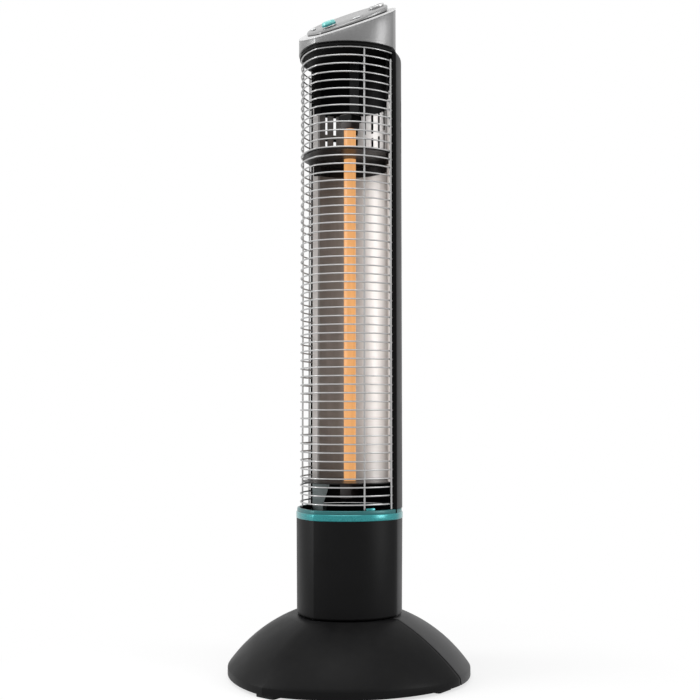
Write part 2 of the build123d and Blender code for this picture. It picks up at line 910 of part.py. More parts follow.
def button_spots():
    # The two push buttons lie along the front edges of the pod
    x, y = button_place
    right = panel_spot((x, y)) * Rot(0, 0, button_turn)
    left = panel_spot((-x, y)) * Rot(0, 0, -button_turn)
    return {"right": right, "left": left}


def button_shape(grow, bottom, top):
    shape = SlotOverall(button_length + 2 * grow, button_width + 2 * grow)
    return slab(shape, bottom, top)


def pod_normal():
    # The direction that the pod's flat top faces
    return Axis((0, 0, 0), Plane(pod_top).z_dir)


def shaft_shape(radius):
    return RegularPolygon(radius, flats)


def control_pod():
    outside = pod_body(0.0, 0.0)
    top_face = outside.faces().sort_by(pod_normal())[-1]
    shell = chamfer(top_face.edges(), pod_bevel) - pod_body(pod_wall, pod_wall)
    for place in knob_places().values():
        hole = slab(shaft_shape(shaft_radius + seat_gap), -3 * pod_wall, 3 * pod_wall)
        shell = shell - panel_spot(place) * hole
    for spot in button_spots().values():
        shell = shell - spot * button_shape(seat_gap, -3 * pod_wall, 3 * pod_wall)
    return shell


def control_board():
    # It spans the cap's opening from below, wide in the middle and narrow at its ends
    right = [
        (board_nose_half_width, -board_front),
        (board_half_width, 0),
        (board_half_width, board_middle),
        (board_back_half_width, board_back),
    ]
    left = [(-x, y) for x, y in reversed(right)]
    sheet = extrude(filled(right + left), board_thickness)
    return panel.location * Pos(0, 0, -cap_wall - board_thickness) * sheet


def knob(place, radius, height):
    # A knob with fine flats round its rim, on a shaft that enters its switch
    disc = slab(RegularPolygon(radius, knob_strips), knob_gap, knob_gap + height)
    disc = chamfer(disc.faces().sort_by(Axis.Z)[-1].edges(), knob_bevel)
    shaft = slab(shaft_shape(shaft_radius), -pod_wall - seat_gap - shaft_entry, knob_gap)
    return panel_spot(place) * (disc + shaft)


def rotary_switch(place):
    # It stands on the control board and ends just under the pod's skin
    top = -pod_wall - seat_gap
    hole = 2 * (shaft_radius + running_gap)
    body = panel_spot(place) * bar(switch_width, switch_width, top - 2 * pod_rise, top)
    bore = panel_spot(place) * bar(hole, hole, top - shaft_entry - seat_gap, top + 1)
    return (body & above_panel(-cap_wall)) - bore


def push_button(spot):
    cap = button_shape(0.0, -button_depth, button_proud)
    lip_length = button_length + 2 * button_lip
    lip_width = button_width + 2 * button_lip
    return spot * (cap + bar(lip_length, lip_width, -button_depth, -pod_wall - seat_gap))


def button_switches():
    top = -button_depth - button_travel - seat_gap
    reach = micro_switch_width / 2
    bodies = []
    for spot in button_spots().values():
        body = spot * block(-reach, reach, -reach, reach, top - 2 * pod_rise, top)
        bodies.append(body & above_panel(-cap_wall))
    return group(bodies)


def save(name, piece):
    export_step(Pos(0, footprint_shift, 0) * piece, "parts/" + name + ".step")


def build_all():
    os.makedirs("parts", exist_ok=True)
    pillar = side_pillar()
    save("base_front_shell", base_shell(True))
    save("base_rear_shell", base_shell(False))
    save("base_plate", base_plate())
    save("rubber_feet", rubber_feet())
    save("ballast_weight", ballast_weight())
    save("cord_inlet", cord_inlet())
    save("bearing_plate", bearing_plate())
    save("thrust_washer", thrust_washer())
    save("oscillation_motor", oscillation_motor())
    save("drive_pinion", drive_pinion())
    save("sector_gear", sector_gear())
    save("tilt_switch", tilt_switch())
    save("tilt_plunger", tilt_plunger())
    save("turntable", turntable())
    save("hub_nut", hub_nut())
    save("lower_front_cover", lower_cover(True))
    save("lower_rear_cover", lower_cover(False))
    save("trim_ring", trim_ring())
    save("lower_deck", lower_deck())
    save("terminal_block", terminal_block())
    save("wire_grille", wire_grille())
    save("end_uprights", end_uprights())
    save("side_pillar_right", pillar)
    save("side_pillar_left", mirrored(pillar))
    save("lower_plate", chamber_plate(lower_plate_bottom))
    save("mid_plate", chamber_plate(mid_plate_bottom))
    save("reflector", reflector())
    save("vent_screen", vent_screen())
    save("rear_shell", rear_shell())
    save("quartz_tube", quartz_tube())
    save("carbon_filament", carbon_filament())
    save("tube_caps", tube_caps())
    save("tube_hanger", tube_hanger())
    save("thermal_cutout", thermal_cutout())
    save("wiring_shield", wiring_shield())
    save("top_frame", top_frame())
    save("top_cap", top_cap())
    save("control_pod", control_pod())
    save("control_board", control_board())
    save("power_knob", knob(power_knob_place, power_knob_radius, power_knob_height))
    save("timer_knob", knob(timer_knob_place, timer_knob_radius, timer_knob_height))
    for name, place in knob_places().items():
        save(name + "_switch", rotary_switch(place))
    for name, spot in button_spots().items():
        save("push_button_" + name, push_button(spot))
    save("button_switches", button_switches())


build_all()
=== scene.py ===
import json
from math import atan2, cos, hypot, pi, radians, sin, sqrt

import bmesh
import bpy
from mathutils import Matrix, Vector


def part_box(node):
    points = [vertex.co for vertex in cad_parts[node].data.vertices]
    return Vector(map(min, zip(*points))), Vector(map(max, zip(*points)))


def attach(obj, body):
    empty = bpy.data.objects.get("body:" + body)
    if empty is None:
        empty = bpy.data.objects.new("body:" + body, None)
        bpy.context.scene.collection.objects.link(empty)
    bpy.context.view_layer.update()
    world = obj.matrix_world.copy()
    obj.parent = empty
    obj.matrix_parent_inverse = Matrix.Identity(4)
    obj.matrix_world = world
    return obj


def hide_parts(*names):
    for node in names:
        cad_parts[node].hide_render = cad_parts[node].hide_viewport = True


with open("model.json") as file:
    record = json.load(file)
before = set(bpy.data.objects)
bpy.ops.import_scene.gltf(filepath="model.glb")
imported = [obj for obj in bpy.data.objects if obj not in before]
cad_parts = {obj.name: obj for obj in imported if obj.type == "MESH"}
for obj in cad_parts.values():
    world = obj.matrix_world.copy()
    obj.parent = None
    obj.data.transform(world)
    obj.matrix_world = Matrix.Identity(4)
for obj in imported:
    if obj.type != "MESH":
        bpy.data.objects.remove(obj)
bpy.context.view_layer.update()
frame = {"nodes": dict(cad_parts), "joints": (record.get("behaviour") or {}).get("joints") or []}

bl_info = {
    "name": "Radiant Tower Heater",
    "version": (1, 0, 0),
    "blender": (4, 5, 0),
    "location": "View3D > Sidebar > Heater",
    "description": "Dresses the solid parts of a radiant tower heater and sets up a plain studio",
    "category": "Object",
}

joints = {joint["name"]: joint for joint in frame["joints"]}
axis_y = joints["tower_swivel"]["pos_m"][1]
head_normal = Vector(joints["power_knob_turn"]["axis"]).normalized()
head_up = Vector((0.0, head_normal.z, -head_normal.y))
upward = Vector((0.0, 0.0, 1.0))


# Sizes and colours


def size_property(name, description, default):
    return bpy.props.FloatProperty(
        name=name, description=description, default=default, unit="LENGTH", precision=4
    )


def colour_property(name, description, default):
    return bpy.props.FloatVectorProperty(
        name=name, description=description, default=default, subtype="COLOR", size=3, min=0.0,
        max=1.0
    )


class HeaterPlan(bpy.types.PropertyGroup):
    """The plan of the column, which the base repeats at a larger size"""

    nose_reach: size_property("Nose Reach", "From the turning axis to the nose", 0.0675)
    face_radius: size_property("Face Radius", "Bow of the two front faces", 0.0744)
    face_offset: size_property("Face Offset", "From the middle to a front face's centre", 0.0104)
    back_reach: size_property("Back Reach", "From the turning axis to the back", 0.059)
    back_radius: size_property("Back Radius", "Round of the back", 0.0649)
    cap_back_reach: size_property("Cap Back Reach", "From the axis to the cap's back", 0.049)
    cap_back_radius: size_property("Cap Back Radius", "Round of the cap's back", 0.0665)
    nose_round: size_property("Nose Round", "Radius of the column's front edge", 0.0022)
    base_half_width: size_property("Base Half Width", "Half the width of the base's rim", 0.1444)
    dome_top_half_width: size_property("Dome Top Half Width", "Half the dome's top width", 0.07)
    dome_radius: size_property("Dome Radius", "Bow of the dome's side", 0.17)


class HeaterDetail(bpy.types.PropertyGroup):
    """Sizes of walls, wires and controls"""

    plastic_wall: size_property("Plastic Wall", "Thickness of the moulded covers", 0.0024)
    sheet_wall: size_property("Sheet Wall", "Thickness of the bent sheets", 0.0008)
    liner_wall: size_property("Liner Wall", "Thickness of the dark liners", 0.0006)
    seam_edge: size_property("Seam Edge", "Rounding of the covers' edges along the seams", 0.0004)
    wire_radius: size_property("Wire Radius", "Radius of the guard's bent wires", 0.00088)
    wire_inset: size_property("Wire Inset", "From the column's face to a wire's middle", 0.0046)
    wire_pitch: size_property("Wire Pitch", "From one guard wire to the next", 0.0097)
    wire_bend: size_property("Wire Bend", "Radius of a guard wire at the nose", 0.009)
    upright_radius: size_property("Upright Radius", "Radius of the guard's uprights", 0.00105)
    button_length: size_property("Button Length", "Length of a push button", 0.0096)
    button_width: size_property("Button Width", "Width of a push button", 0.0052)
    wire_count: bpy.props.IntProperty(
        name="Wire Count", description="Number of bent wires in the guard", default=55, min=2
    )


class HeaterColours(bpy.types.PropertyGroup):
    """Colours of the finishes"""

    front: colour_property("Black Plastic", "Front covers", (0.0045, 0.0045, 0.0047))
    back: colour_property("Grey Plastic", "Back covers of the column", (0.027, 0.027, 0.028))
    inside: colour_property("Black Inside", "Frame, pillars and deck", (0.003, 0.003, 0.0031))
    teal: colour_property("Teal", "Trim ring", (0.008, 0.2, 0.21))
    # The knob's top takes a paler copy of its teal: a painted highlight
    pale_teal: colour_property("Pale Teal", "Power knob", (0.16, 0.52, 0.49))
    silver: colour_property("Silver", "Cap of the column", (0.16, 0.16, 0.16))
    wire: colour_property("Wire", "Plated guard wires", (0.38, 0.38, 0.38))
    sheet: colour_property("Bright Sheet", "Reflector behind the tube", (0.62, 0.6, 0.59))
    glow: colour_property("Glow", "Heating tube", (0.84, 0.41, 0.15))


def plan_of():
    return bpy.context.scene.heater_plan


def detail_of():
    return bpy.context.scene.heater_detail


def colours_of():
    return bpy.context.scene.heater_colours


# Nodes


def feed(tree, node, values):
    """Link a node's inputs to other sockets, or give them plain values"""
    for label, value in values.items():
        if isinstance(value, bpy.types.NodeSocket):
            tree.links.new(value, node.inputs[label])
        else:
            node.inputs[label].default_value = value


def add_node(tree, kind, values=None, **settings):
    """Add a node with its settings and what its inputs take"""
    node = tree.nodes.new(kind)
    for name, value in settings.items():
        setattr(node, name, value)
    feed(tree, node, values or {})
    return node


def maths(tree, operation, first, second=0.0):
    return add_node(tree, "ShaderNodeMath", {0: first, 1: second}, operation=operation).outputs[0]


def product(tree, first, *others):
    for other in others:
        first = maths(tree, "MULTIPLY", first, other)
    return first


def spread(tree, value, low=0.3, high=0.7, new_low=0.0, new_high=1.0):
    """Stretch a range, at first the one that noise mostly fills, over a new one"""
    values = {
        "Value": value, "From Min": low, "From Max": high, "To Min": new_low, "To Max": new_high
    }
    return add_node(tree, "ShaderNodeMapRange", values).outputs[0]


def noise(tree, vector, scale, detail=2.0, roughness=0.5):
    values = {"Vector": vector, "Scale": scale, "Detail": detail, "Roughness": roughness}
    return add_node(tree, "ShaderNodeTexNoise", values).outputs["Fac"]


def stretched(tree, vector, upright_share):
    """Draw a pattern out along Z, by taking only a share of the height"""
    values = {"Vector": vector, "Scale": (1.0, 1.0, upright_share)}
    return add_node(tree, "ShaderNodeMapping", values).outputs[0]


def object_place(tree):
    return add_node(tree, "ShaderNodeTexCoord").outputs["Object"]


def mixed_colour(tree, mask, first, second):
    node = add_node(tree, "ShaderNodeMix", {"Factor": mask}, data_type="RGBA")
    ends = [index for index, socket in enumerate(node.inputs) if socket.type == "RGBA"]
    feed(tree, node, dict(zip(ends, (first, second))))
    return next(socket for socket in node.outputs if socket.type == "RGBA")


def seen_directly(tree):
    """One for what the camera sees straight, in a gloss or through glass"""
    rays = add_node(tree, "ShaderNodeLightPath").outputs
    seen = maths(tree, "MAXIMUM", rays["Is Camera Ray"], rays["Is Glossy Ray"])
    return maths(tree, "MAXIMUM", seen, rays["Is Transmission Ray"])


# Shared effects, as node groups that put out masks, heights and shades


def moulded_grain(tree, place, scale):
    """Fine spark-eroded grain of a moulding, with slow changes of shade"""
    fine = noise(tree, place, scale, 3.0, 0.65)
    slow = noise(tree, place, product(tree, scale, 0.02), 4.0)
    return fine, maths(tree, "ADD", product(tree, slow, 0.75), product(tree, fine, 0.25))


def upright_brushing(tree, place, scale):
    """Long fine lines that run up a drawn or brushed metal"""
    long_way = stretched(tree, place, 0.012)
    fine = noise(tree, long_way, scale, 2.0, 0.6)
    broad = noise(tree, long_way, product(tree, scale, 0.12), 3.0, 0.6)
    return fine, maths(tree, "ADD", product(tree, broad, 0.6), product(tree, fine, 0.4))


def paint_flakes(tree, place, scale):
    """Orange peel of a metallic paint, and the shades of its tiny flakes"""
    cells = add_node(tree, "ShaderNodeTexVoronoi", {"Vector": place, "Scale": scale})
    split = add_node(tree, "ShaderNodeSeparateColor", {0: cells.outputs["Color"]})
    return noise(tree, place, 260.0), split.outputs[0]


def settled_dust(tree, place, amount):
    """Thin dust on what faces up"""
    normal = add_node(tree, "ShaderNodeNewGeometry").outputs["Normal"]
    height = add_node(tree, "ShaderNodeSeparateXYZ", {0: normal}).outputs["Z"]
    facing = spread(tree, height, 0.35, 1.0)
    patches = spread(tree, noise(tree, place, 45.0, 6.0, 0.7), 0.35, 0.75)
    return [product(tree, facing, patches, amount)]


def side_painted_shade(tree, place, unshaded, shaded, lip):
    """Painted shade that grows from the middle of a sheet to its sides and stops at its lips"""
    across = add_node(tree, "ShaderNodeSeparateXYZ", {0: place}).outputs["X"]
    out = maths(tree, "ABSOLUTE", across)
    run = maths(tree, "SUBTRACT", shaded, unshaded)
    grown = maths(tree, "DIVIDE", maths(tree, "SUBTRACT", out, unshaded), run)
    inside = maths(tree, "LESS_THAN", out, lip)
    streaks = noise(tree, stretched(tree, place, 0.1), 90.0, 3.0)
    patches = spread(tree, streaks, new_low=0.9, new_high=1.05)
    mask = product(tree, spread(tree, grown, 0.0, 1.0), inside, patches)
    return [maths(tree, "MINIMUM", mask, 1.0)]


effects = {
    "Moulded Grain": (moulded_grain, {"Scale": 1400.0}, ("Height", "Shade")),
    "Upright Brushing": (upright_brushing, {"Scale": 900.0}, ("Height", "Shade")),
    "Paint Flakes": (paint_flakes, {"Scale": 2600.0}, ("Height", "Shade")),
    "Settled Dust": (settled_dust, {"Amount": 0.3}, ("Mask",)),
    # The side effect darkens a sheet's colour towards its sides, as painted shade
    "Side Painted Shade": (side_painted_shade, {"Clean": 0.01, "Dull": 0.04, "Lip": 0.05}, ("Mask",)),
}


def effect_group(name):
    """The node group of a shared effect, made when it is first asked for"""
    if name in bpy.data.node_groups:
        return bpy.data.node_groups[name]
    maker, values, outputs = effects[name]
    tree = bpy.data.node_groups.new(name, "ShaderNodeTree")
    tree.interface.new_socket("Vector", in_out="INPUT", socket_type="NodeSocketVector")
    for label, value in values.items():
        socket = tree.interface.new_socket(label, in_out="INPUT", socket_type="NodeSocketFloat")
        socket.default_value = value
    for label in outputs:
        tree.interface.new_socket(label, in_out="OUTPUT", socket_type="NodeSocketFloat")
    enter = tree.nodes.new("NodeGroupInput").outputs
    made = maker(tree, *[enter[label] for label in ("Vector", *values)])
    add_node(tree, "NodeGroupOutput", dict(zip(outputs, made)))
    return tree


def effect(tree, name, vector, **values):
    """Place a shared effect in a tree and return its outputs"""
    values = {"Vector": vector, **values}
    return add_node(tree, "ShaderNodeGroup", values, node_tree=effect_group(name)).outputs


# Materials


def new_finish(name, roughness, metallic=0.0, specular=0.5, coat=0.0):
    """A material with its tree, its shader and the place on the piece"""
    found = bpy.data.materials.new(name)
    found.use_nodes = True
    tree = found.node_tree
    shader = tree.nodes["Principled BSDF"]
    feed(tree, shader, {
        "Roughness": roughness, "Metallic": metallic, "Specular IOR Level": specular,
        "Coat Weight": coat, "Coat Roughness": 0.12,
    })
    return found, tree, shader, object_place(tree)


def grey(value):
    return (value, value, value)


def tint(colour, factor):
    return tuple(min(1.0, part * factor) for part in colour) + (1.0,)


def finish_with(effect_name, name, colour, roughness, scale, depth, contrast=0.12, dust=0.0,
                **shader_values):
    """A finish whose colour, roughness and relief all follow one of the shared effects"""
    dust_colour, rough_spread = (0.4, 0.39, 0.37, 1.0), 0.06
    found, tree, shader, place = new_finish(name, roughness, **shader_values)
    surface = effect(tree, effect_name, place, Scale=scale)
    shade = spread(tree, surface["Shade"])
    colours = mixed_colour(tree, shade, tint(colour, 1 - contrast), tint(colour, 1 + contrast))
    if dust:
        layer = effect(tree, "Settled Dust", place, Amount=dust)
        colours = mixed_colour(tree, layer["Mask"], colours, dust_colour)
    rough_range = {
        "new_low": roughness - rough_spread, "new_high": roughness + rough_spread
    }
    rough = spread(tree, surface["Shade"], **rough_range)
    relief = {"Strength": 0.5, "Distance": depth, "Height": surface["Height"]}
    bump = add_node(tree, "ShaderNodeBump", relief).outputs["Normal"]
    feed(tree, shader, {"Base Color": colours, "Roughness": rough, "Normal": bump})
    return found


def moulded(*named, **values):
    """A moulded, pressed or cast finish"""
    usual = dict(scale=1400.0, depth=0.00003, specular=0.3, dust=0.03)
    return finish_with("Moulded Grain", *named, **{**usual, **values})


def metallic_paint(*named, **values):
    usual = dict(scale=2600.0, depth=0.00002, contrast=0.1, dust=0.02, metallic=0.55, coat=0.2)
    return finish_with("Paint Flakes", *named, **{**usual, **values})


def drawn_metal(*named, **values):
    usual = dict(scale=900.0, depth=0.00001, metallic=1.0, specular=0.3)
    return finish_with("Upright Brushing", *named, **{**usual, **values})


def sheet_with_painted_side_shade(name, colour, roughness, **values):
    """A drawn metal sheet with painted shade along both of its side walls"""
    found = drawn_metal(name, colour, roughness, **values)
    tree = found.node_tree
    shader = tree.nodes["Principled BSDF"]
    unshaded = shader.inputs["Base Color"].links[0].from_socket
    painted_shade_share = 0.36
    # Painted shade: the colour darkens from the middle towards both side walls, in place of the
    # shade and dark reflections there
    layer = effect(tree, "Side Painted Shade", object_place(tree), Clean=0.014, Dull=0.04, Lip=0.0522)
    painted_shade_colour = mixed_colour(tree, layer["Mask"], unshaded, tint(colour, painted_shade_share))
    feed(tree, shader, {"Base Color": painted_shade_colour})
    return found


def glowing(name, colour, roughness, **values):
    """A tube that glows evenly, with faint upright streaks"""
    found, tree, shader, place = new_finish(name, roughness, **values)
    shade = spread(tree, noise(tree, stretched(tree, place, 0.06), 260.0, 3.0))
    feed(tree, shader, {
        "Emission Color": mixed_colour(tree, shade, tint(colour, 0.92), tint(colour, 1.06)),
        "Emission Strength": 0.9,
        "Base Color": (0.1, 0.04, 0.015, 1.0),
    })
    return found


def finish(name):
    """The finish of that name, made when it is first asked for"""
    own = colours_of()
    recipes = {  # How it is made, its colour and roughness, and what differs from the usual
        "Black Plastic": (moulded, own.front, 0.42, dict(specular=0.07, dust=0.01)),
        "Grey Plastic": (moulded, own.back, 0.45, dict(specular=0.15, dust=0.02)),
        "Base Grey": (moulded, (0.042, 0.042, 0.043), 0.5, dict(specular=0.15, depth=0.00006)),
        "Black Inside": (moulded, own.inside, 0.5, dict(specular=0.06, dust=0.01)),
        "Knob Teal": (moulded, (0.02, 0.22, 0.225), 0.3, dict(specular=0.4, dust=0.0)),
        # Painted highlight: the paler teal stands for light falling on the knob's top
        "Pale Teal": (moulded, own.pale_teal, 0.3, dict(specular=0.5, dust=0.0)),
        "Satin Silver": (moulded, grey(0.5), 0.4, dict(specular=0.5, dust=0.0)),
        "White Button": (moulded, (0.66, 0.67, 0.67), 0.35, dict(specular=0.4, dust=0.0)),
        "Smoked Lens": (moulded, (0.03, 0.03, 0.032), 0.12, dict(specular=0.5, dust=0.0)),
        "Nylon": (moulded, (0.72, 0.7, 0.62), 0.5, dict(specular=0.4, dust=0.0)),
        "Ceramic": (moulded, (0.72, 0.69, 0.62), 0.62, dict(scale=800.0)),
        "Dark Ceramic": (moulded, (0.02, 0.013, 0.011), 0.5, dict(scale=800.0)),
        "Board": (moulded, (0.1, 0.2, 0.07), 0.4, dict(specular=0.4, scale=500.0)),
        "Rubber": (moulded, grey(0.012), 0.8, dict(specular=0.2, scale=900.0, depth=0.00008)),
        "Cast Iron": (moulded, (0.06, 0.058, 0.055), 0.7,
                      dict(specular=0.4, scale=420.0, depth=0.0004)),
        "Teal Ring": (metallic_paint, own.teal, 0.26, dict(metallic=0.5, coat=0.35)),
        "Deep Teal": (metallic_paint, (0.008, 0.1, 0.104), 0.36, dict(metallic=0.3, coat=0.1)),
        "Silver Cap": (metallic_paint, own.silver, 0.38, {}),
        "Silver Head": (metallic_paint, grey(0.21), 0.34, {}),
        "Bright Silver": (metallic_paint, grey(0.5), 0.3, dict(metallic=0.6)),
        "Zinc Steel": (drawn_metal, (0.5, 0.5, 0.48), 0.4, dict(scale=600.0, contrast=0.15)),
        "Grey Sheet": (drawn_metal, (0.13, 0.155, 0.155), 0.6, dict(scale=600.0, metallic=0.0)),
        "Guard Wire": (drawn_metal, own.wire, 0.35,
                       dict(scale=1500.0, contrast=0.08, metallic=0.75)),
        "Dark Sheet": (drawn_metal, (0.014, 0.013, 0.013), 0.3,
                       dict(contrast=0.15, metallic=0.1, specular=0.12)),
        # The bright sheet carries painted shade along its side walls
        "Bright Sheet": (sheet_with_painted_side_shade, own.sheet, 0.47,
                         dict(scale=700.0, contrast=0.06, metallic=0.4)),
        "Glowing Tube": (glowing, own.glow, 0.3, dict(specular=0.3)),
    }
    maker, shade, roughness, values = recipes[name]
    return bpy.data.materials.get(name) or maker(name, shade, roughness, **values)


# Shapes


def whole(bm):
    return bm.verts[:] + bm.edges[:] + bm.faces[:]


def verts_of(geom):
    return [item for item in geom if isinstance(item, bmesh.types.BMVert)]


def edges_of(geom):
    return [item for item in geom if isinstance(item, bmesh.types.BMEdge)]


def placed(origin, turn=0.0, axis="Z"):
    return Matrix.Translation(origin) @ Matrix.Rotation(turn, 4, axis)


def mirrored(bm):
    bmesh.ops.mirror(bm, geom=whole(bm), axis="X", merge_dist=0.00001)


def merged(bm):
    bmesh.ops.remove_doubles(bm, verts=bm.verts[:], dist=0.000002)


def spun(bm, geom, centre, turn, steps):
    """Spin geometry about an upright axis and return what comes last"""
    return bmesh.ops.spin(
        bm, geom=geom, cent=(centre[0], centre[1], 0.0), axis=upward, angle=turn, steps=steps
    )["geom_last"]


def arced(bm, verts, centre, turn, steps):
    """Spin single vertices into arcs and return the vertices at their ends"""
    return verts_of(spun(bm, verts, centre, turn, steps))


def spot_on(bm, circle, turn, level):
    """A vertex on a circle, given as its centre and radius"""
    x, y, radius = circle
    return bm.verts.new((x + radius * cos(turn), y + radius * sin(turn), level))


def circle_meeting(first, second, less=0.0):
    """The crossing further to the right of two circles, each with its radius made less"""
    first_x, first_y, first_r = first
    second_x, second_y, second_r = second
    first_r, second_r = first_r - less, second_r - less
    apart = hypot(second_x - first_x, second_y - first_y)
    along = (first_r**2 - second_r**2 + apart**2) / (2 * apart)
    across = sqrt(first_r**2 - along**2)
    step_x = (second_x - first_x) / apart
    step_y = (second_y - first_y) / apart
    x = first_x + along * step_x - across * step_y
    return Vector((x, first_y + along * step_y + across * step_x))


def plan_circles(inset=0.0, size=1.0, cap=False):
    """Centre and radius of the right front face and of the back, at that size and inset"""
    plan = plan_of()
    reach, radius = (plan.back_reach, plan.back_radius)
    if cap:
        reach, radius = (plan.cap_back_reach, plan.cap_back_radius)
    face_y = sqrt(plan.face_radius**2 - plan.face_offset**2) - plan.nose_reach
    face = (-plan.face_offset * size, axis_y + face_y * size, plan.face_radius * size - inset)
    back = (0.0, axis_y + (reach - radius) * size, radius * size - inset)
    return face, back


def nose_turns(face, nose_round):
    """Where the nose's own centre lies and the angle at which its round ends"""
    face_x, face_y, face_r = face
    nose_y = face_y - sqrt((face_r - nose_round) ** 2 - face_x**2)
    return nose_y, atan2(nose_y - face_y, -face_x)


def half_outline(bm, level, inset=0.0, size=1.0, part="full", cap=False, nose_round=None,
                 steps=20, gap=0.0, side_round=0.0, seam=0.5):
    """Draw the right half of the plan as a chain of edges, from the nose to the back"""
    nose_steps, side_steps, seam_steps = 4, 6, 4
    seam_lap, seam_depth = 0.001, 0.0005
    known = set(bm.edges)
    nose_round = plan_of().nose_round if nose_round is None else nose_round
    face, back = plan_circles(inset, size, cap)
    corner = circle_meeting(face, back, side_round)
    corner_turn = atan2(corner.y - face[1], corner.x - face[0])
    back_turn = atan2(corner.y - back[1], corner.x)
    seam_turn = corner_turn + (back_turn - corner_turn) * seam
    chain = []
    if part == "seam":
        seam_turn -= seam_lap / side_round
        first = spot_on(bm, (*corner, side_round - seam_depth), seam_turn, level)
        arced(bm, [first], corner, (gap + 2 * seam_lap) / side_round, seam_steps)
    if part in ("full", "front"):
        nose_y, nose_end = nose_turns(face, nose_round)
        chain = [bm.verts.new((0.0, nose_y - nose_round, level))]
        chain = arced(bm, chain, (0.0, nose_y), nose_end + pi / 2, nose_steps)
        chain = arced(bm, chain, face, corner_turn - nose_end, steps)
        if side_round:
            chain = arced(bm, chain, corner, seam_turn - corner_turn, side_steps)
    if part in ("full", "back"):
        if side_round:
            seam_turn += gap / side_round
            chain = [spot_on(bm, (*corner, side_round), seam_turn, level)]
            chain = arced(bm, chain, corner, back_turn - seam_turn, side_steps)
        else:
            back_turn += gap / back[2]
        chain = chain or [spot_on(bm, back, back_turn, level)]
        arced(bm, chain, back, pi / 2 - back_turn, steps)
    return [edge for edge in bm.edges if edge not in known]


def raise_wall(bm, edges, levels):
    """Pull a chain of edges from level to level, each given as a half width and a height"""
    space = Matrix.Translation((0.0, -axis_y, 0.0))
    for (width, height), (next_width, next_height) in zip(levels, levels[1:]):
        made = bmesh.ops.extrude_edge_only(bm, edges=edges)["geom"]
        verts = verts_of(made)
        inside = set(verts)
        edges = [edge for edge in edges_of(made) if all(vert in inside for vert in edge.verts)]
        share = next_width / width
        bmesh.ops.scale(bm, vec=(share, share, 1.0), space=space, verts=verts)
        bmesh.ops.translate(bm, vec=(0.0, 0.0, next_height - height), verts=verts)


def straight(rise):
    """The levels of a plain upright wall"""
    return (1.0, 0.0), (1.0, rise)


def round_over(radius, steps):
    """A quarter round, from its upright end: how far in and how far below its top each step is"""
    turns = [pi / 2 * step / steps for step in range(steps + 1)]
    return [(radius * (1 - cos(turn)), radius * (1 - sin(turn))) for turn in turns]


def loft(bm, chains):
    """Close the surface between chains of edges that lie one above the other"""
    for below, above in zip(chains, chains[1:]):
        bmesh.ops.bridge_loops(bm, edges=below + above)


def head_block(level, levels, **outline):
    """A closed block that follows the cap's plan"""
    bm = bmesh.new()
    raise_wall(bm, half_outline(bm, level, cap=True, **outline), levels)
    mirrored(bm)
    bmesh.ops.holes_fill(bm, edges=bm.edges[:], sides=0)
    return bm


def cut_flat(bm, point, normal, keep_below=True):
    """Cut a closed shape along a plane and close the cut"""
    found = bmesh.ops.bisect_plane(
        bm, geom=whole(bm), plane_co=point, plane_no=normal, clear_outer=keep_below,
        clear_inner=not keep_below
    )
    bmesh.ops.edgenet_fill(bm, edges=edges_of(found["geom_cut"]))


def rod(bm, radius, low, high, segments, place, top_radius=None):
    """A closed round bar between two levels"""
    bmesh.ops.create_cone(
        bm, cap_ends=True, segments=segments, radius1=radius, radius2=top_radius or radius,
        depth=high - low, matrix=place @ placed((0.0, 0.0, (low + high) / 2))
    )


def block(bm, low, high, place=None):
    """A closed box between two corners"""
    low, high = Vector(low), Vector(high)
    matrix = placed((low + high) / 2) @ Matrix.Diagonal((*(high - low), 1.0))
    if place is not None:
        matrix = place @ matrix
    return bmesh.ops.create_cube(bm, size=1.0, matrix=matrix)["verts"]


def turned(bm, profile, place):
    """A turned shape from the radii and heights of its side, in millimetres"""
    verts = [bm.verts.new((radius * 0.001, 0.0, height * 0.001)) for radius, height in profile]
    edges = [bm.edges.new(pair) for pair in zip(verts, verts[1:])]
    bmesh.ops.spin(
        bm, geom=verts + edges, cent=(0.0, 0.0, 0.0), axis=upward, angle=2 * pi, steps=64,
        use_merge=True
    )
    merged(bm)
    bmesh.ops.transform(bm, matrix=place, verts=bm.verts[:])


def stadium(bm, length, width, low, high, place):
    """A closed bar with round ends, between two levels"""
    ring = bmesh.ops.create_circle(bm, cap_ends=True, segments=32, radius=width / 2)["verts"]
    shift = (length - width) / 2
    for vert in ring:
        vert.co.x += shift if vert.co.x > 0 else -shift
        vert.co.z = low
    made = bmesh.ops.extrude_face_region(bm, geom=bm.faces[:])["geom"]
    bmesh.ops.translate(bm, vec=(0.0, 0.0, high - low), verts=verts_of(made))
    bmesh.ops.transform(bm, matrix=place, verts=ring + verts_of(made))


def slot_cuts(bm, centre_y, slots, rows):
    """Open upright slots in a round wall, from their angles and widths, and each row's levels"""
    centre = Vector((0.0, centre_y, 0.0))
    cuts = [(Vector((0.0, 0.0, level)), upward) for row in rows for level in row]
    lines = []
    for angle, width in slots:
        turn = radians(angle)
        side = Vector((cos(turn), -sin(turn), 0.0))
        out = Vector((sin(turn), cos(turn), 0.0))
        lines.append((side, out, width / 2))
        cuts += [(centre + side * shift, side) for shift in (-width / 2, width / 2)]
    for point, normal in cuts:
        bmesh.ops.bisect_plane(bm, geom=whole(bm), plane_co=point, plane_no=normal)
    doomed = []
    for panel in bm.faces:
        middle = panel.calc_center_median()
        arm = middle - Vector((0.0, centre_y, middle.z))
        in_row = any(low < middle.z < high for low, high in rows)
        if in_row and any(abs(arm.dot(side)) < half and arm.dot(out) > 0
                          for side, out, half in lines):
            doomed.append(panel)
    bmesh.ops.delete(bm, geom=doomed, context="FACES")


# Pieces


def new_object(name, data):
    obj = bpy.data.objects.new(name, data)
    bpy.context.scene.collection.objects.link(obj)
    return obj


def mesh_object(name, bm):
    mesh = bpy.data.meshes.new(name)
    bm.to_mesh(mesh)
    bm.free()
    return new_object(name, mesh)


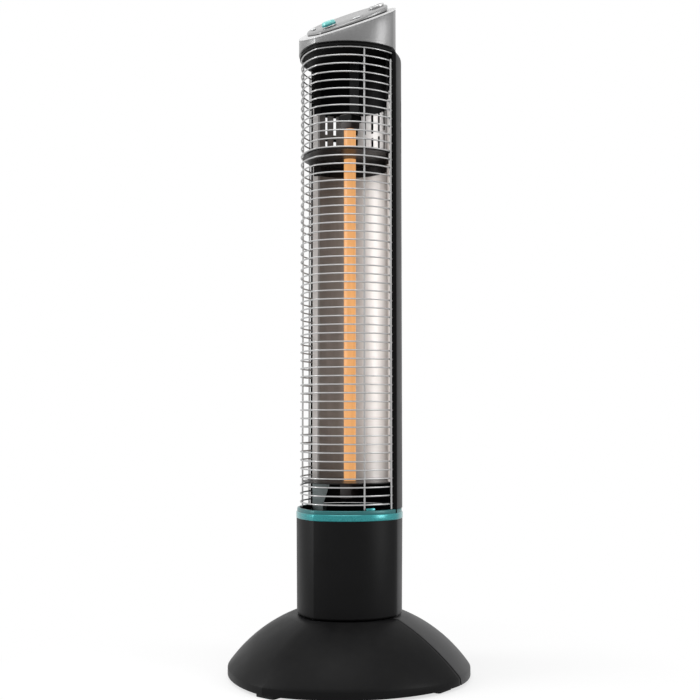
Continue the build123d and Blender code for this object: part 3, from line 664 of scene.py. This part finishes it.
def face_outward(bm):
    """Point an open wall's faces away from the column's axis"""
    total = 0.0
    for face in bm.faces:
        centre = face.calc_center_median()
        out = centre - Vector((0.0, axis_y, centre.z))
        total += face.normal.dot(out) * face.calc_area()
    if total < 0:
        bmesh.ops.reverse_faces(bm, faces=bm.faces[:])


def add_modifier(obj, kind, **settings):
    modifier = obj.modifiers.new(kind, kind)
    for name, value in settings.items():
        setattr(modifier, name, value)


def finish_mesh(obj, wall, edge, smooth):
    """Give a piece its wall and rounded edges, and keep the result as its mesh"""
    if wall:
        add_modifier(obj, "SOLIDIFY", thickness=wall, offset=-1.0, use_even_offset=True)
    if edge:
        add_modifier(obj, "BEVEL", width=edge, segments=2, limit_method="ANGLE",
                     angle_limit=radians(38.0), use_clamp_overlap=True)
    if wall or edge:
        bpy.context.view_layer.update()
        graph = bpy.context.evaluated_depsgraph_get()
        made = bpy.data.meshes.new_from_object(obj.evaluated_get(graph), depsgraph=graph)
        made.name = obj.name
        old = obj.data
        obj.modifiers.clear()
        obj.data = made
        bpy.data.meshes.remove(old)
    for polygon in obj.data.polygons:
        polygon.use_smooth = True
    obj.data.set_sharp_from_angle(angle=radians(smooth))


def new_piece(name, bm, finish_name, body="tower", half=False, shell=False, wall=0.0,
              edge=0.0, replaces=(), smooth=32.0):
    """Close up a shape, or half of one, and let it ride on its body as a piece"""
    if half or shell:
        mirrored(bm)
    merged(bm)
    bmesh.ops.recalc_face_normals(bm, faces=bm.faces[:])
    if shell:
        face_outward(bm)
    obj = mesh_object(name, bm)
    obj.data.materials.append(finish(finish_name))
    finish_mesh(obj, wall, edge, smooth)
    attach(obj, body)
    if replaces:
        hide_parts(*replaces)


def dress(**finishes):
    """Give solids that stay as they are their finishes"""
    for node, finish_name in finishes.items():
        obj = frame["nodes"][node]
        if not obj.material_slots:
            obj.data.materials.append(None)
        for entry in obj.material_slots:
            entry.material = finish(finish_name)


# Base


def dome_levels(bands):
    """Half widths and heights of the dome's side: lip, upright rim, one arc and the flat top"""
    plan = plan_of()
    low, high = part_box("base_front_shell")
    half, top_half = plan.base_half_width, plan.dome_top_half_width
    rim_height, lip, ledge, flat_share = 0.0085, 0.0003, 0.00015, 0.56
    rim = low.z + rim_height
    rise = high.z - rim
    run = half - top_half
    half_chord = hypot(run, rise) / 2
    back_off = sqrt(plan.dome_radius**2 - half_chord**2)
    centre_x = (half + top_half - back_off * rise / half_chord) / 2
    centre_z = (rim + high.z - back_off * run / half_chord) / 2
    first = atan2(rim - centre_z, half - centre_x)
    last = atan2(high.z - centre_z, top_half - centre_x)
    turns = [first + (last - first) * step / bands for step in range(1, bands + 1)]
    arc = [(centre_x + plan.dome_radius * cos(turn), centre_z + plan.dome_radius * sin(turn))
           for turn in turns]
    side = [(half - lip, low.z), (half, low.z + lip), (half, rim - 0.0005), (half - ledge, rim)]
    return [*side, *arc, (top_half * flat_share, high.z)]


class HEATER_OT_base_shells(bpy.types.Operator):
    """Make the front and rear shells of the domed base"""

    bl_idname = "heater.base_shells"
    bl_label = "Base Shells"

    def execute(self, context):
        detail = detail_of()
        corner = circle_meeting(*plan_circles()).x
        levels = dome_levels(24)
        floor, rim, top = levels[0][1], levels[3][1], levels[-1][1]
        rim_nose, dome_nose, change_height = 0.003, 0.018, 0.012
        side_round, seam_gap, seam_start, seam_shift = 0.044, 0.0026, 0.5, 0.4
        strip_wall = 0.0008
        for part, name, slot, skin in (
            ("front", "base_front_shell", "base_front_plastic", "Black Plastic"),
            ("back", "base_rear_shell", "rear_plastic", "Base Grey"),
            ("seam", "base_seam", "black_plastic", "Black Inside"),
        ):
            bm = bmesh.new()
            chains = []
            for half_width, level in levels:
                size = half_width / corner
                blunt = min(1.0, max(0.0, (level - rim) / change_height))
                rise = (level - floor) / (top - floor)
                chains.append(half_outline(
                    bm, level, size=size, part=part, nose_round=rim_nose + dome_nose * blunt * size,
                    steps=40, gap=seam_gap, side_round=side_round * size,
                    seam=seam_start - seam_shift * rise
                ))
            loft(bm, chains)
            if part == "seam":
                new_piece("base_seam_strip", bm, skin, "base", shell=True,
                          wall=strip_wall)
            else:
                new_piece(name + "_skin", bm, skin, "base", shell=True, smooth=28.0,
                          wall=detail.plastic_wall, edge=detail.seam_edge, replaces=(name,))
        return {"FINISHED"}


class HEATER_OT_underside(bpy.types.Operator):
    """Make the rubber feet and the screws under the base, and finish what is inside it"""

    bl_idname = "heater.underside"
    bl_label = "Feet and Underside"

    def execute(self, context):
        low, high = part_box("rubber_feet")
        length, width, corner = 0.013, 0.007, 0.0035
        side_y = axis_y - 0.008
        bm = bmesh.new()
        for x, y, turn in (
            (0.0, low.y + width, 0.0),
            (0.0, high.y - width, 0.0),
            (high.x - width, side_y, pi / 2),
            (low.x + width, side_y, pi / 2),
        ):
            place = placed((x, y, 0.0), turn)
            verts = block(bm, (-length, -width, 0.0), (length, width, high.z), place)
            uprights = [edge for edge in bm.edges if edge.verts[0] in verts
                        and abs(edge.verts[0].co.z - edge.verts[1].co.z) > high.z / 2]
            bmesh.ops.bevel(
                bm, geom=uprights, offset=corner, affect="EDGES", segments=4, profile=0.5,
                material=-1
            )
        new_piece("rubber_feet_pads", bm, "Rubber", "base", edge=0.0005,
                  replaces=("rubber_feet",))
        bm = bmesh.new()
        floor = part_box("base_plate")[0].z
        radius, crown_radius, sunk, proud = 0.0036, 0.0028, 0.0008, 0.0012
        screws = (
            (0.0, -0.125), (0.085, -0.06), (-0.085, -0.06), (0.09, 0.07), (-0.09, 0.07),
            (0.0, 0.118),
        )
        for x, y in screws:
            rod(bm, radius, -sunk, proud, 20, placed((x, y, floor), pi, "X"), crown_radius)
        new_piece("base_screws", bm, "Zinc Steel", "base", edge=0.0002)
        dress(
            base_plate="Black Inside", ballast_weight="Cast Iron", cord_inlet="Rubber",
            bearing_plate="Zinc Steel", thrust_washer="Nylon", oscillation_motor="Zinc Steel",
            drive_pinion="Nylon", sector_gear="Nylon", tilt_switch="Black Inside",
            tilt_plunger="Nylon", turntable="Black Inside", hub_nut="Zinc Steel"
        )
        return {"FINISHED"}


# Column


class HEATER_OT_lower_covers(bpy.types.Operator):
    """Make the front and rear covers of the lower column"""

    bl_idname = "heater.lower_covers"
    bl_label = "Lower Covers"

    def execute(self, context):
        low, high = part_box("lower_front_cover")
        tuck, drop, rounding = 0.0008, 0.0007, 0.0028
        levels = [(high.x, high.z)]
        for inset, rise in round_over(rounding, 6):
            levels.append((high.x - (tuck + inset), low.z - drop + rise))
        for part, name, slot, skin in (
            ("front", "lower_front_cover", "front_plastic", "Black Plastic"),
            ("back", "lower_rear_cover", "rear_plastic", "Grey Plastic"),
        ):
            bm = bmesh.new()
            raise_wall(bm, half_outline(bm, high.z, part=part, gap=0.0004), levels)
            new_piece(name + "_skin", bm, skin, shell=True, wall=detail_of().plastic_wall,
                      edge=0.0005, replaces=(name,))
        dress(terminal_block="Ceramic")
        return {"FINISHED"}


class HEATER_OT_trim_ring(bpy.types.Operator):
    """Make the teal trim ring with its latch tab, and the dark liner inside it"""

    bl_idname = "heater.trim_ring"
    bl_label = "Trim Ring"

    def execute(self, context):
        low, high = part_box("trim_ring")
        top_gap, lip_height, proud, liner_inset = 0.0003, 0.0042, 0.0004, 0.0046
        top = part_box("rear_shell")[0].z - top_gap
        step = top - lip_height
        for name, skin, replaced, section in (
            ("trim_ring_skin", "Teal Ring", ("trim_ring",), (
                (-0.0006, low.z), (0.0, low.z + 0.0006), (0.0, step - 0.0009), (-0.0009, step),
                (-0.0044, step), (-0.0044, low.z), (-0.0006, low.z),
            )),
            ("trim_ring_lip", "Deep Teal", (), (
                (-0.0011, step), (-0.0012, top - 0.0007), (-0.0018, top), (-0.0042, top),
                (-0.0042, step), (-0.0011, step),
            )),
        ):
            bm = bmesh.new()
            edges = half_outline(bm, section[0][1], inset=-section[0][0] - proud)
            raise_wall(bm, edges, [(high.x + shift, level) for shift, level in section])
            new_piece(name, bm, skin, half=True, edge=0.0002, replaces=replaced)
        tab_inset, tab_x, tab = 0.0042, 0.0508, Vector((0.0053, 0.0015, 0.004))
        face = plan_circles(tab_inset)[0]
        y = face[1] - sqrt(face[2] ** 2 - (tab_x - face[0]) ** 2)
        lean = atan2(y - face[1], tab_x - face[0]) + pi / 2
        bm = bmesh.new()
        block(bm, -tab, (tab.x, tab.y, 0.0), placed((tab_x, y, high.z), lean))
        new_piece("trim_ring_tab", bm, "Teal Ring", edge=0.0005)
        bm = bmesh.new()
        edges = half_outline(bm, low.z + 0.0005, inset=liner_inset)
        raise_wall(bm, edges, straight(top - low.z - 0.0008))
        new_piece("ring_liner", bm, "Black Inside", shell=True,
                  wall=detail_of().liner_wall)
        dress(lower_deck="Black Inside")
        return {"FINISHED"}


class HEATER_OT_guard_wires(bpy.types.Operator):
    """Bend the guard's wires and weld the uprights to them"""

    bl_idname = "heater.guard_wires"
    bl_label = "Guard Wires"

    def execute(self, context):
        detail = detail_of()
        pitch, bend, thin = detail.wire_pitch, detail.wire_bend, detail.upright_radius
        last_drop, bead_radius, bead_shape = 0.001, 0.0011, (1.15, 1.15, 0.8, 1.0)
        front_reach, end_shift = 0.0322, 0.0008
        low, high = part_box("wire_grille")
        first = high.z - last_drop - (detail.wire_count - 1) * pitch
        face = plan_circles(detail.wire_inset)[0]
        nose_y, nose_end = nose_turns(face, bend)
        end_turn = atan2(high.y - face[1], sqrt(face[2] ** 2 - (high.y - face[1]) ** 2))
        bm = bmesh.new()
        facing = placed((0.0, nose_y - bend, first), pi / 2, "Y")
        bmesh.ops.create_circle(bm, segments=8, radius=detail.wire_radius, matrix=facing)
        geom = spun(bm, bm.verts[:] + bm.edges[:], (0.0, nose_y), nose_end + pi / 2, 3)
        geom = spun(bm, geom, face, end_turn - nose_end, 15)
        bmesh.ops.edgenet_fill(bm, edges=edges_of(geom))
        mirrored(bm)
        hoop = whole(bm)
        for index in range(1, detail.wire_count):
            copy = bmesh.ops.duplicate(bm, geom=hoop)["geom"]
            bmesh.ops.translate(bm, vec=(0.0, 0.0, index * pitch), verts=verts_of(copy))
        new_piece("guard_hoops", bm, "Guard Wire", replaces=("wire_grille",))
        end_low, end_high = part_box("end_uprights")
        for name, side, spot_y, missed, replaced in (
            ("front_uprights_wire", 1, axis_y - front_reach, 0, ()),
            ("end_uprights_wire", -1, (end_low.y + end_high.y) / 2 - end_shift, 1,
             ("end_uprights",)),
        ):
            away = side * (detail.wire_radius + thin)
            across = sqrt((face[2] - away) ** 2 - (spot_y - face[1]) ** 2)
            place = placed((face[0] + across, spot_y, 0.0))
            bm = bmesh.new()
            rod(bm, thin, low.z, high.z - missed * pitch, 10, place)
            toward = Vector((across, spot_y - face[1], 0.0)).normalized() * side * thin
            for index in range(detail.wire_count - missed):
                weld = place @ placed((toward.x, toward.y, first + index * pitch))
                flat = weld @ Matrix.Diagonal(bead_shape)
                bmesh.ops.create_icosphere(bm, subdivisions=1, radius=bead_radius, matrix=flat)
            new_piece(name, bm, "Guard Wire", half=True, replaces=replaced)
        return {"FINISHED"}


class HEATER_OT_pillars(bpy.types.Operator):
    """Make the two grooved pillars that hold the wires"""

    bl_idname = "heater.pillars"
    bl_label = "Side Pillars"

    def execute(self, context):
        low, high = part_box("side_pillar_right")
        section = (
            (0.0076, 0.0), (0.00745, -0.0005), (0.0046, -0.0026), (0.0044, -0.0026),
            (0.0043, -0.0024), (0.0043, -0.0012), (0.0013, -0.0012), (0.0013, -0.0018),
            (0.0003, -0.0018), (0.0003, 0.0),
        )
        for side, name in ((1, "side_pillar_right"), (-1, "side_pillar_left")):
            bm = bmesh.new()
            ring = [bm.verts.new((side * (low.x + x), high.y + y, low.z)) for x, y in section]
            made = bmesh.ops.extrude_face_region(bm, geom=[bm.faces.new(ring)])["geom"]
            bmesh.ops.translate(bm, vec=(0.0, 0.0, high.z - low.z), verts=verts_of(made))
            new_piece(name + "_post", bm, "Black Inside", replaces=(name,))
        return {"FINISHED"}


# Heating chamber

slot_width = 0.0034


def vent_rows():
    """The two rows of slots over the mid plate"""
    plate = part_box("mid_plate")[1].z
    return [(plate + low, plate + high) for low, high in ((0.001, 0.033), (0.038, 0.063))]


def trough(bm, level, inset):
    """The right half of the reflector's line, from the back to the flange, and its centre"""
    low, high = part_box("reflector")
    flange = ((0.0027, -0.0019, 0.0), (0.0023, -0.0018, 0.0), (0.0015, -0.0009, 0.0))
    trough_radius, back_gap, front_gap = 0.0525, 0.0008, 0.0002
    radius = trough_radius - inset
    centre_y = high.y - back_gap - radius - inset
    front = low.y + front_gap - centre_y
    turn = pi / 2 - atan2(front, sqrt(radius**2 - front**2))
    last = [bm.verts.new((0.0, centre_y + radius, level))]
    last = arced(bm, last, (0.0, centre_y), -turn, 28)
    for step in flange:
        last = bmesh.ops.extrude_vert_indiv(bm, verts=last)["verts"]
        bmesh.ops.translate(bm, vec=step, verts=last)
    return centre_y


class HEATER_OT_chamber(bpy.types.Operator):
    """Make the reflector, the slotted screen, the lower plate, the chamber's dark liners and a dark
    band of painted reflection at the reflector's top
    """

    bl_idname = "heater.chamber"
    bl_label = "Heating Chamber"

    def execute(self, context):
        sheet, liner = detail_of().sheet_wall, detail_of().liner_wall
        mirror_low, mirror_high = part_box("reflector")
        screen_low, screen_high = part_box("vent_screen")
        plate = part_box("mid_plate")[0].z
        hood_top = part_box("top_frame")[0].z - 0.0003
        side_width, hood_lap, collar_height, liner_inset = 0.0036, 0.009, 0.012, 0.0014
        slots = [(turn, slot_width) for turn in (0.0, 12.0, 24.0)]
        slots += [(turn, side_width) for turn in (54.0, 66.0)]
        for name, slot, skin, low, high, inset, wall, replaced in (
            # Reflector and screen both take the bright sheet, with its painted shade along the side
            # walls
            ("reflector_skin", "bright_sheet", "Bright Sheet", mirror_low.z, mirror_high.z, 0.0,
             sheet, ("reflector",)),
            ("vent_screen_skin", "vent_sheet", "Bright Sheet", screen_low.z, screen_high.z, 0.0,
             sheet, ("vent_screen",)),
            ("hood_liner", "black_plastic", "Black Inside", screen_high.z - hood_lap, hood_top,
             liner_inset, liner, ()),
            # Painted reflection: a dark band just under the mid plate stands in for the plate's
            # dark underside reflected in the reflector
            ("reflector_painted_reflection_band", "black_plastic", "Dark Sheet", plate - collar_height,
             plate - 0.0005, liner_inset, liner, ()),
        ):
            bm = bmesh.new()
            centre_y = trough(bm, low, inset)
            raise_wall(bm, bm.edges[:], straight(high - low))
            if slot == "vent_sheet":
                slot_cuts(bm, centre_y, slots, vent_rows())
            new_piece(name, bm, skin, shell=True, wall=wall, replaces=replaced)
        bm = bmesh.new()
        bm.from_mesh(frame["nodes"]["lower_plate"].data)
        merged(bm)
        thickness = 0.0012
        kept_from = Vector((0.0, 0.0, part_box("lower_plate")[1].z - thickness))
        found = bmesh.ops.bisect_plane(
            bm, geom=whole(bm), plane_co=kept_from, plane_no=upward, clear_inner=True
        )
        bmesh.ops.triangle_fill(bm, use_beauty=True, edges=edges_of(found["geom_cut"]))
        new_piece("lower_plate_sheet", bm, "Dark Sheet", replaces=("lower_plate",))
        dress(mid_plate="Dark Sheet", wiring_shield="Grey Sheet", thermal_cutout="Black Inside")
        return {"FINISHED"}


class HEATER_OT_tube(bpy.types.Operator):
    """Make the glowing tube with its end blocks, and finish its hanger"""

    bl_idname = "heater.tube"
    bl_label = "Heating Tube"

    def execute(self, context):
        low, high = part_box("quartz_tube")
        middle = (low + high) / 2
        bm = bmesh.new()
        rod(bm, (high.x - low.x) / 2, low.z, high.z, 48, placed((middle.x, middle.y, 0.0)))
        new_piece("glowing_tube", bm, "Glowing Tube", edge=0.0006,
                  replaces=("quartz_tube", "carbon_filament"))
        low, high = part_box("tube_caps")
        block_height = 0.018
        bm = bmesh.new()
        for bottom, top in ((low.z, low.z + block_height), (high.z - block_height, high.z)):
            block(bm, (low.x, low.y, bottom), (high.x, high.y, top))
        new_piece("tube_end_blocks", bm, "Dark Ceramic", edge=0.0015,
                  replaces=("tube_caps",))
        dress(tube_hanger="Black Inside")
        return {"FINISHED"}


class HEATER_OT_rear_shell(bpy.types.Operator):
    """Make the slotted rear shell with its rounded shoulder, and dark sheets of painted shade
    behind its slots
    """

    bl_idname = "heater.rear_shell"
    bl_label = "Rear Shell"

    def execute(self, context):
        low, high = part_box("rear_shell")
        half, shoulder, flat = high.x, 0.01, 0.006
        levels = [(half, low.z)]
        levels += [(half - inset, high.z - drop) for inset, drop in round_over(shoulder, 8)]
        levels.append((half - (shoulder + flat), high.z))
        bm = bmesh.new()
        raise_wall(bm, half_outline(bm, low.z, part="back", steps=24, gap=0.0003), levels)
        centre_y = plan_circles()[1][1]
        side_width, intake_height, intake_lift, behind = 0.0038, 0.015, 0.0107, 0.0026
        rows = vent_rows()
        slots = [(turn, slot_width) for turn in (6.0, 18.0)]
        slots += [(turn, side_width) for turn in (51.5, 61.5)]
        slot_cuts(bm, centre_y, slots, rows)
        intake = low.z + intake_lift
        slots = [(turn, slot_width) for turn in (0.0, 12.0, 24.0)]
        slot_cuts(bm, centre_y, slots, [(intake, intake + intake_height)])
        back = centre_y + plan_of().back_radius - behind
        reach, lap = radians(38.0), 0.003
        # Painted shade: dark sheets behind the slots keep them as dark as the shaded inside of the
        # column
        for name, bottom, top in (
            ("intake_shade_sheet", low.z + 0.002, intake + intake_height + lap),
            ("vent_shade_sheet", rows[0][0] - lap, rows[1][1] + lap),
        ):
            liner = bmesh.new()
            arced(liner, [liner.verts.new((0.0, back, bottom))], (0.0, centre_y), -reach, 12)
            raise_wall(liner, liner.edges[:], straight(top - bottom))
            new_piece(name, liner, "Black Inside", shell=True,
                      wall=detail_of().liner_wall)
        new_piece("rear_shell_skin", bm, "Grey Plastic", shell=True, wall=0.0022,
                  edge=0.0004, replaces=("rear_shell",))
        return {"FINISHED"}


# Head


def panel_plane():
    """A point on the cap's sloping top and its normal"""
    slope, middle_height = radians(28.8), 0.0435
    point = Vector((0.0, axis_y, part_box("top_frame")[1].z + middle_height))
    return point, Vector((0.0, -sin(slope), cos(slope)))


def head_place(origin):
    """A place on the sloping head, with Z along the head's own normal"""
    right = Vector((1.0, 0.0, 0.0))
    turn = Matrix((right, head_up, head_normal)).transposed().to_4x4()
    return Matrix.Translation(origin) @ turn


def head_spot(x, y):
    """A place on the pod's flat top, counted from the middle of the pod"""
    above_knob = 0.0276
    middle = Vector(joints["power_knob_turn"]["pos_m"]) + head_up * above_knob
    return head_place(middle + Vector((x, 0.0, 0.0)) + head_up * y)


class HEATER_OT_cap(bpy.types.Operator):
    """Make the black top frame and the silver cap with its sloping top"""

    bl_idname = "heater.cap"
    bl_label = "Top Frame and Cap"

    def execute(self, context):
        low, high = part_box("top_frame")
        band, step_in = 0.0022, 0.985
        rise = high.z - low.z
        levels = ((1.0, 0.0), (1.0, band), (step_in, band), (step_in, rise))
        bm = head_block(low.z, levels, inset=0.0026)
        new_piece("top_frame_skin", bm, "Black Inside", edge=0.0004,
                  replaces=("top_frame",))
        low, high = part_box("top_cap")
        point, normal = panel_plane()
        rise = high.z - low.z + 0.01
        rim, gap, inset = 0.0016, 0.0001, 0.0014
        for name, skin, drop, edge, replaced in (
            ("top_cap_skin", "Silver Cap", rim + gap, 0.0004, ("top_cap",)),
            ("top_cap_rim", "Satin Silver", 0.0, 0.0007, ()),
        ):
            bm = head_block(low.z, straight(rise), inset=inset, nose_round=0.003, steps=24)
            cut_flat(bm, point - normal * drop, normal)
            if name == "top_cap_rim":
                cut_flat(bm, point - normal * rim, normal, keep_below=False)
            new_piece(name, bm, skin, edge=edge, replaces=replaced)
        return {"FINISHED"}


class HEATER_OT_pod(bpy.types.Operator):
    """Make the raised control pod and the gasket under it"""

    bl_idname = "heater.pod"
    bl_label = "Control Pod"

    def execute(self, context):
        point, normal = panel_plane()
        top = head_spot(0.0, 0.0).translation
        low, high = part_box("control_pod")
        rise = high.z - low.z + 0.03
        for name, slot, skin, inset, bottom_lift, top_drop, edge, replaced in (
            ("control_pod_skin", "silver_pod", "Silver Head", 0.011, 0.0007, 0.0002, 0.0014,
             ("control_pod",)),
            ("pod_gasket", "black_plastic", "Black Inside", 0.0118, -0.001, 0.004, 0.0, ()),
        ):
            bm = head_block(low.z - 0.01, straight(rise), inset=inset, nose_round=0.004, steps=24)
            cut_flat(bm, top - head_normal * top_drop, head_normal)
            cut_flat(bm, point + normal * bottom_lift, normal, keep_below=False)
            new_piece(name, bm, skin, edge=edge, replaces=replaced)
        dress(
            control_board="Board", power_switch="Black Inside", timer_switch="Black Inside",
            button_switches="Black Inside"
        )
        return {"FINISHED"}


def knob_piece(name, finish_name, place, profile, replaces=()):
    """A turned piece of a knob, which rides on the knob's own dial"""
    bm = bmesh.new()
    turned(bm, profile, place)
    new_piece(name, bm, finish_name, name.split("_")[0] + "_dial", replaces=replaces)


class HEATER_OT_knobs(bpy.types.Operator):
    """Turn the teal power knob and the silver timer knob"""

    bl_idname = "heater.knobs"
    bl_label = "Knobs"

    def execute(self, context):
        power = head_place(Vector(joints["power_knob_turn"]["pos_m"]))
        timer = head_place(Vector(joints["timer_knob_turn"]["pos_m"]))
        knob_piece("power_knob_collar", "Knob Teal", power, (
            (0.0, 1.5), (8.4, 1.5), (8.6, 1.8), (8.6, 3.6), (8.4, 3.8), (0.0, 3.8),
        ))
        # Painted highlight: the disc on top is a paler copy of the knob's teal
        knob_piece("power_knob_disc", "Pale Teal", power, (
            (0.0, 3.8), (8.3, 3.8), (8.1, 4.5), (7.6, 5.7), (7.0, 6.3), (6.4, 6.5), (5.8, 6.3),
            (0.0, 6.2),
        ), ("power_knob",))
        knob_piece("power_knob_skirt", "Bright Silver", power, (
            (0.0, 0.5), (8.6, 0.5), (8.9, 0.7), (8.9, 1.3), (8.7, 1.5), (0.0, 1.5),
        ))
        half_width, inner, outer, under, over = 0.0006, 0.0015, 0.0064, 0.0059, 0.0063
        bm = bmesh.new()
        block(bm, (-half_width, inner, under), (half_width, outer, over), power)
        new_piece("power_knob_pointer", bm, "White Button", "power_dial",
                  edge=0.0002)
        knob_piece("timer_knob_disc", "Bright Silver", timer, (
            (0.0, 0.5), (9.4, 0.5), (9.8, 0.9), (9.8, 2.3), (9.4, 2.7), (8.0, 2.8), (7.6, 2.5),
            (0.0, 2.4),
        ), ("timer_knob",))
        knob_piece("timer_knob_insert", "Silver Cap", timer, (
            (0.0, 2.2), (7.4, 2.2), (7.4, 2.5), (0.0, 2.6),
        ))
        dot_radius, dot_out, under, over = 0.0007, 0.0064, 0.0024, 0.0027
        bm = bmesh.new()
        rod(bm, dot_radius, under, over, 16, timer @ placed((0.0, dot_out, 0.0)))
        new_piece("timer_knob_pointer", bm, "Smoked Lens", "timer_dial")
        return {"FINISHED"}


class HEATER_OT_buttons(bpy.types.Operator):
    """Make the two push buttons with their bezels and lamps"""

    bl_idname = "heater.buttons"
    bl_label = "Push Buttons"

    def execute(self, context):
        length, width = detail_of().button_length, detail_of().button_width
        out, forward, turn = 0.0327, -0.0163, radians(53.8)
        margin, sunk, button_top, bezel_top = 0.0012, 0.0006, 0.0013, 0.00012
        lamp_radius, lamp_shift, lamp_top = 0.0009, 0.0076, 0.0002
        for side, name in ((1, "right"), (-1, "left")):
            place = head_spot(side * out, forward) @ Matrix.Rotation(side * turn, 4, "Z")
            bm = bmesh.new()
            stadium(bm, length, width, -0.001, button_top, place)
            new_piece("push_button_" + name + "_cap", bm, "White Button",
                      name + "_button", edge=0.0005, replaces=("push_button_" + name,))
            bm = bmesh.new()
            stadium(bm, length + margin, width + margin, -sunk, bezel_top, place)
            new_piece("button_bezel_" + name, bm, "Black Inside")
            bm = bmesh.new()
            for shift in (-lamp_shift, lamp_shift):
                spot = place @ placed((shift, 0.0, 0.0))
                rod(bm, lamp_radius, -sunk, lamp_top, 16, spot)
            new_piece("lamps_" + name, bm, "Smoked Lens")
        return {"FINISHED"}


# Studio


def floor_finish():
    """A pale floor that is white at a distance and keeps the heater's shadow near it"""
    pale = bpy.data.materials.new("Pale Floor")
    pale.use_nodes = True
    tree = pale.node_tree
    shader = tree.nodes["Principled BSDF"]
    feed(tree, shader, {
        "Base Color": (0.9, 0.9, 0.9, 1.0), "Roughness": 0.9, "Specular IOR Level": 0.1
    })
    white = add_node(tree, "ShaderNodeEmission")
    far = add_node(tree, "ShaderNodeVectorMath", {0: object_place(tree)}, operation="LENGTH")
    share = spread(tree, far.outputs["Value"], 0.1, 0.42, 0.62, 1.0)
    mix = add_node(tree, "ShaderNodeMixShader", {
        0: product(tree, seen_directly(tree), share), 1: shader.outputs[0], 2: white.outputs[0]
    })
    feed(tree, tree.nodes["Material Output"], {"Surface": mix.outputs[0]})
    return pale


class HEATER_OT_stage(bpy.types.Operator):
    """Set up the floor, the soft lamps, the white surroundings and the camera"""

    bl_idname = "heater.stage"
    bl_label = "Studio"

    def execute(self, context):
        scene = context.scene
        scene.view_settings.view_transform = "Standard"
        bm = bmesh.new()
        bmesh.ops.create_circle(bm, cap_ends=True, segments=96, radius=6.0)
        floor = mesh_object("floor", bm)
        floor.data.materials.append(floor_finish())
        scene.world = bpy.data.worlds.new("studio")
        scene.world.use_nodes = True
        tree = scene.world.node_tree
        feed(tree, tree.nodes["Background"], {
            "Color": (1.0, 1.0, 1.0, 1.0),
            "Strength": spread(tree, seen_directly(tree), 0.0, 1.0, 0.45, 1.0),
        })
        for name, place, aim_z, width, height, power in (
            ("Left Softbox", (-1.15, -1.15, 0.9), 0.45, 0.6, 1.6, 26.0),
            ("Right Softbox", (1.6, 0.35, 0.8), 0.45, 0.5, 1.6, 16.0),
            ("Top Softbox", (0.3, -0.5, 2.0), 0.5, 1.2, 1.2, 14.0),
        ):
            data = bpy.data.lights.new(name, "AREA")
            data.shape = "RECTANGLE"
            data.size, data.size_y, data.energy = width, height, power
            aim = Vector((0.0, 0.0, aim_z)) - Vector(place)
            lamp = new_object(name, data)
            lamp.location = place
            lamp.rotation_euler = aim.to_track_quat("-Z", "Y").to_euler()
        data = bpy.data.cameras.new("camera")
        data.lens = 56.42
        data.sensor_width = 36.0
        data.clip_start = 0.05
        data.clip_end = 50.0
        camera = new_object("camera", data)
        camera.location = (0.789, axis_y - 1.028, 0.3)
        camera.rotation_euler = (radians(93.333), 0.0, radians(37.5))
        scene.camera = camera
        return {"FINISHED"}


class HEATER_PT_panel(bpy.types.Panel):
    """Lists the heater's pieces, sizes and colours in the sidebar"""

    bl_idname = "HEATER_PT_panel"
    bl_label = "Radiant Tower Heater"
    bl_space_type = "VIEW_3D"
    bl_region_type = "UI"
    bl_category = "Heater"

    def draw(self, context):
        for operator in operators:
            self.layout.operator(operator.bl_idname)
        for group in (plan_of(), detail_of(), colours_of()):
            column = self.layout.column()
            for name in group.__annotations__:
                column.prop(group, name)


groups = {
    "heater_plan": HeaterPlan, "heater_detail": HeaterDetail, "heater_colours": HeaterColours
}
operators = (
    HEATER_OT_base_shells,
    HEATER_OT_underside,
    HEATER_OT_lower_covers,
    HEATER_OT_trim_ring,
    HEATER_OT_guard_wires,
    HEATER_OT_pillars,
    HEATER_OT_chamber,
    HEATER_OT_tube,
    HEATER_OT_rear_shell,
    HEATER_OT_cap,
    HEATER_OT_pod,
    HEATER_OT_knobs,
    HEATER_OT_buttons,
    HEATER_OT_stage,
)
classes = (*groups.values(), *operators, HEATER_PT_panel)


def register():
    for found in classes:
        bpy.utils.register_class(found)
    for name, group in groups.items():
        setattr(bpy.types.Scene, name, bpy.props.PointerProperty(type=group))


def unregister():
    for name in groups:
        delattr(bpy.types.Scene, name)
    for found in reversed(classes):
        bpy.utils.unregister_class(found)


def main():
    register()
    for operator in operators:
        family, name = operator.bl_idname.split(".")
        getattr(getattr(bpy.ops, family), name)()


if __name__ == "__main__":
    main()
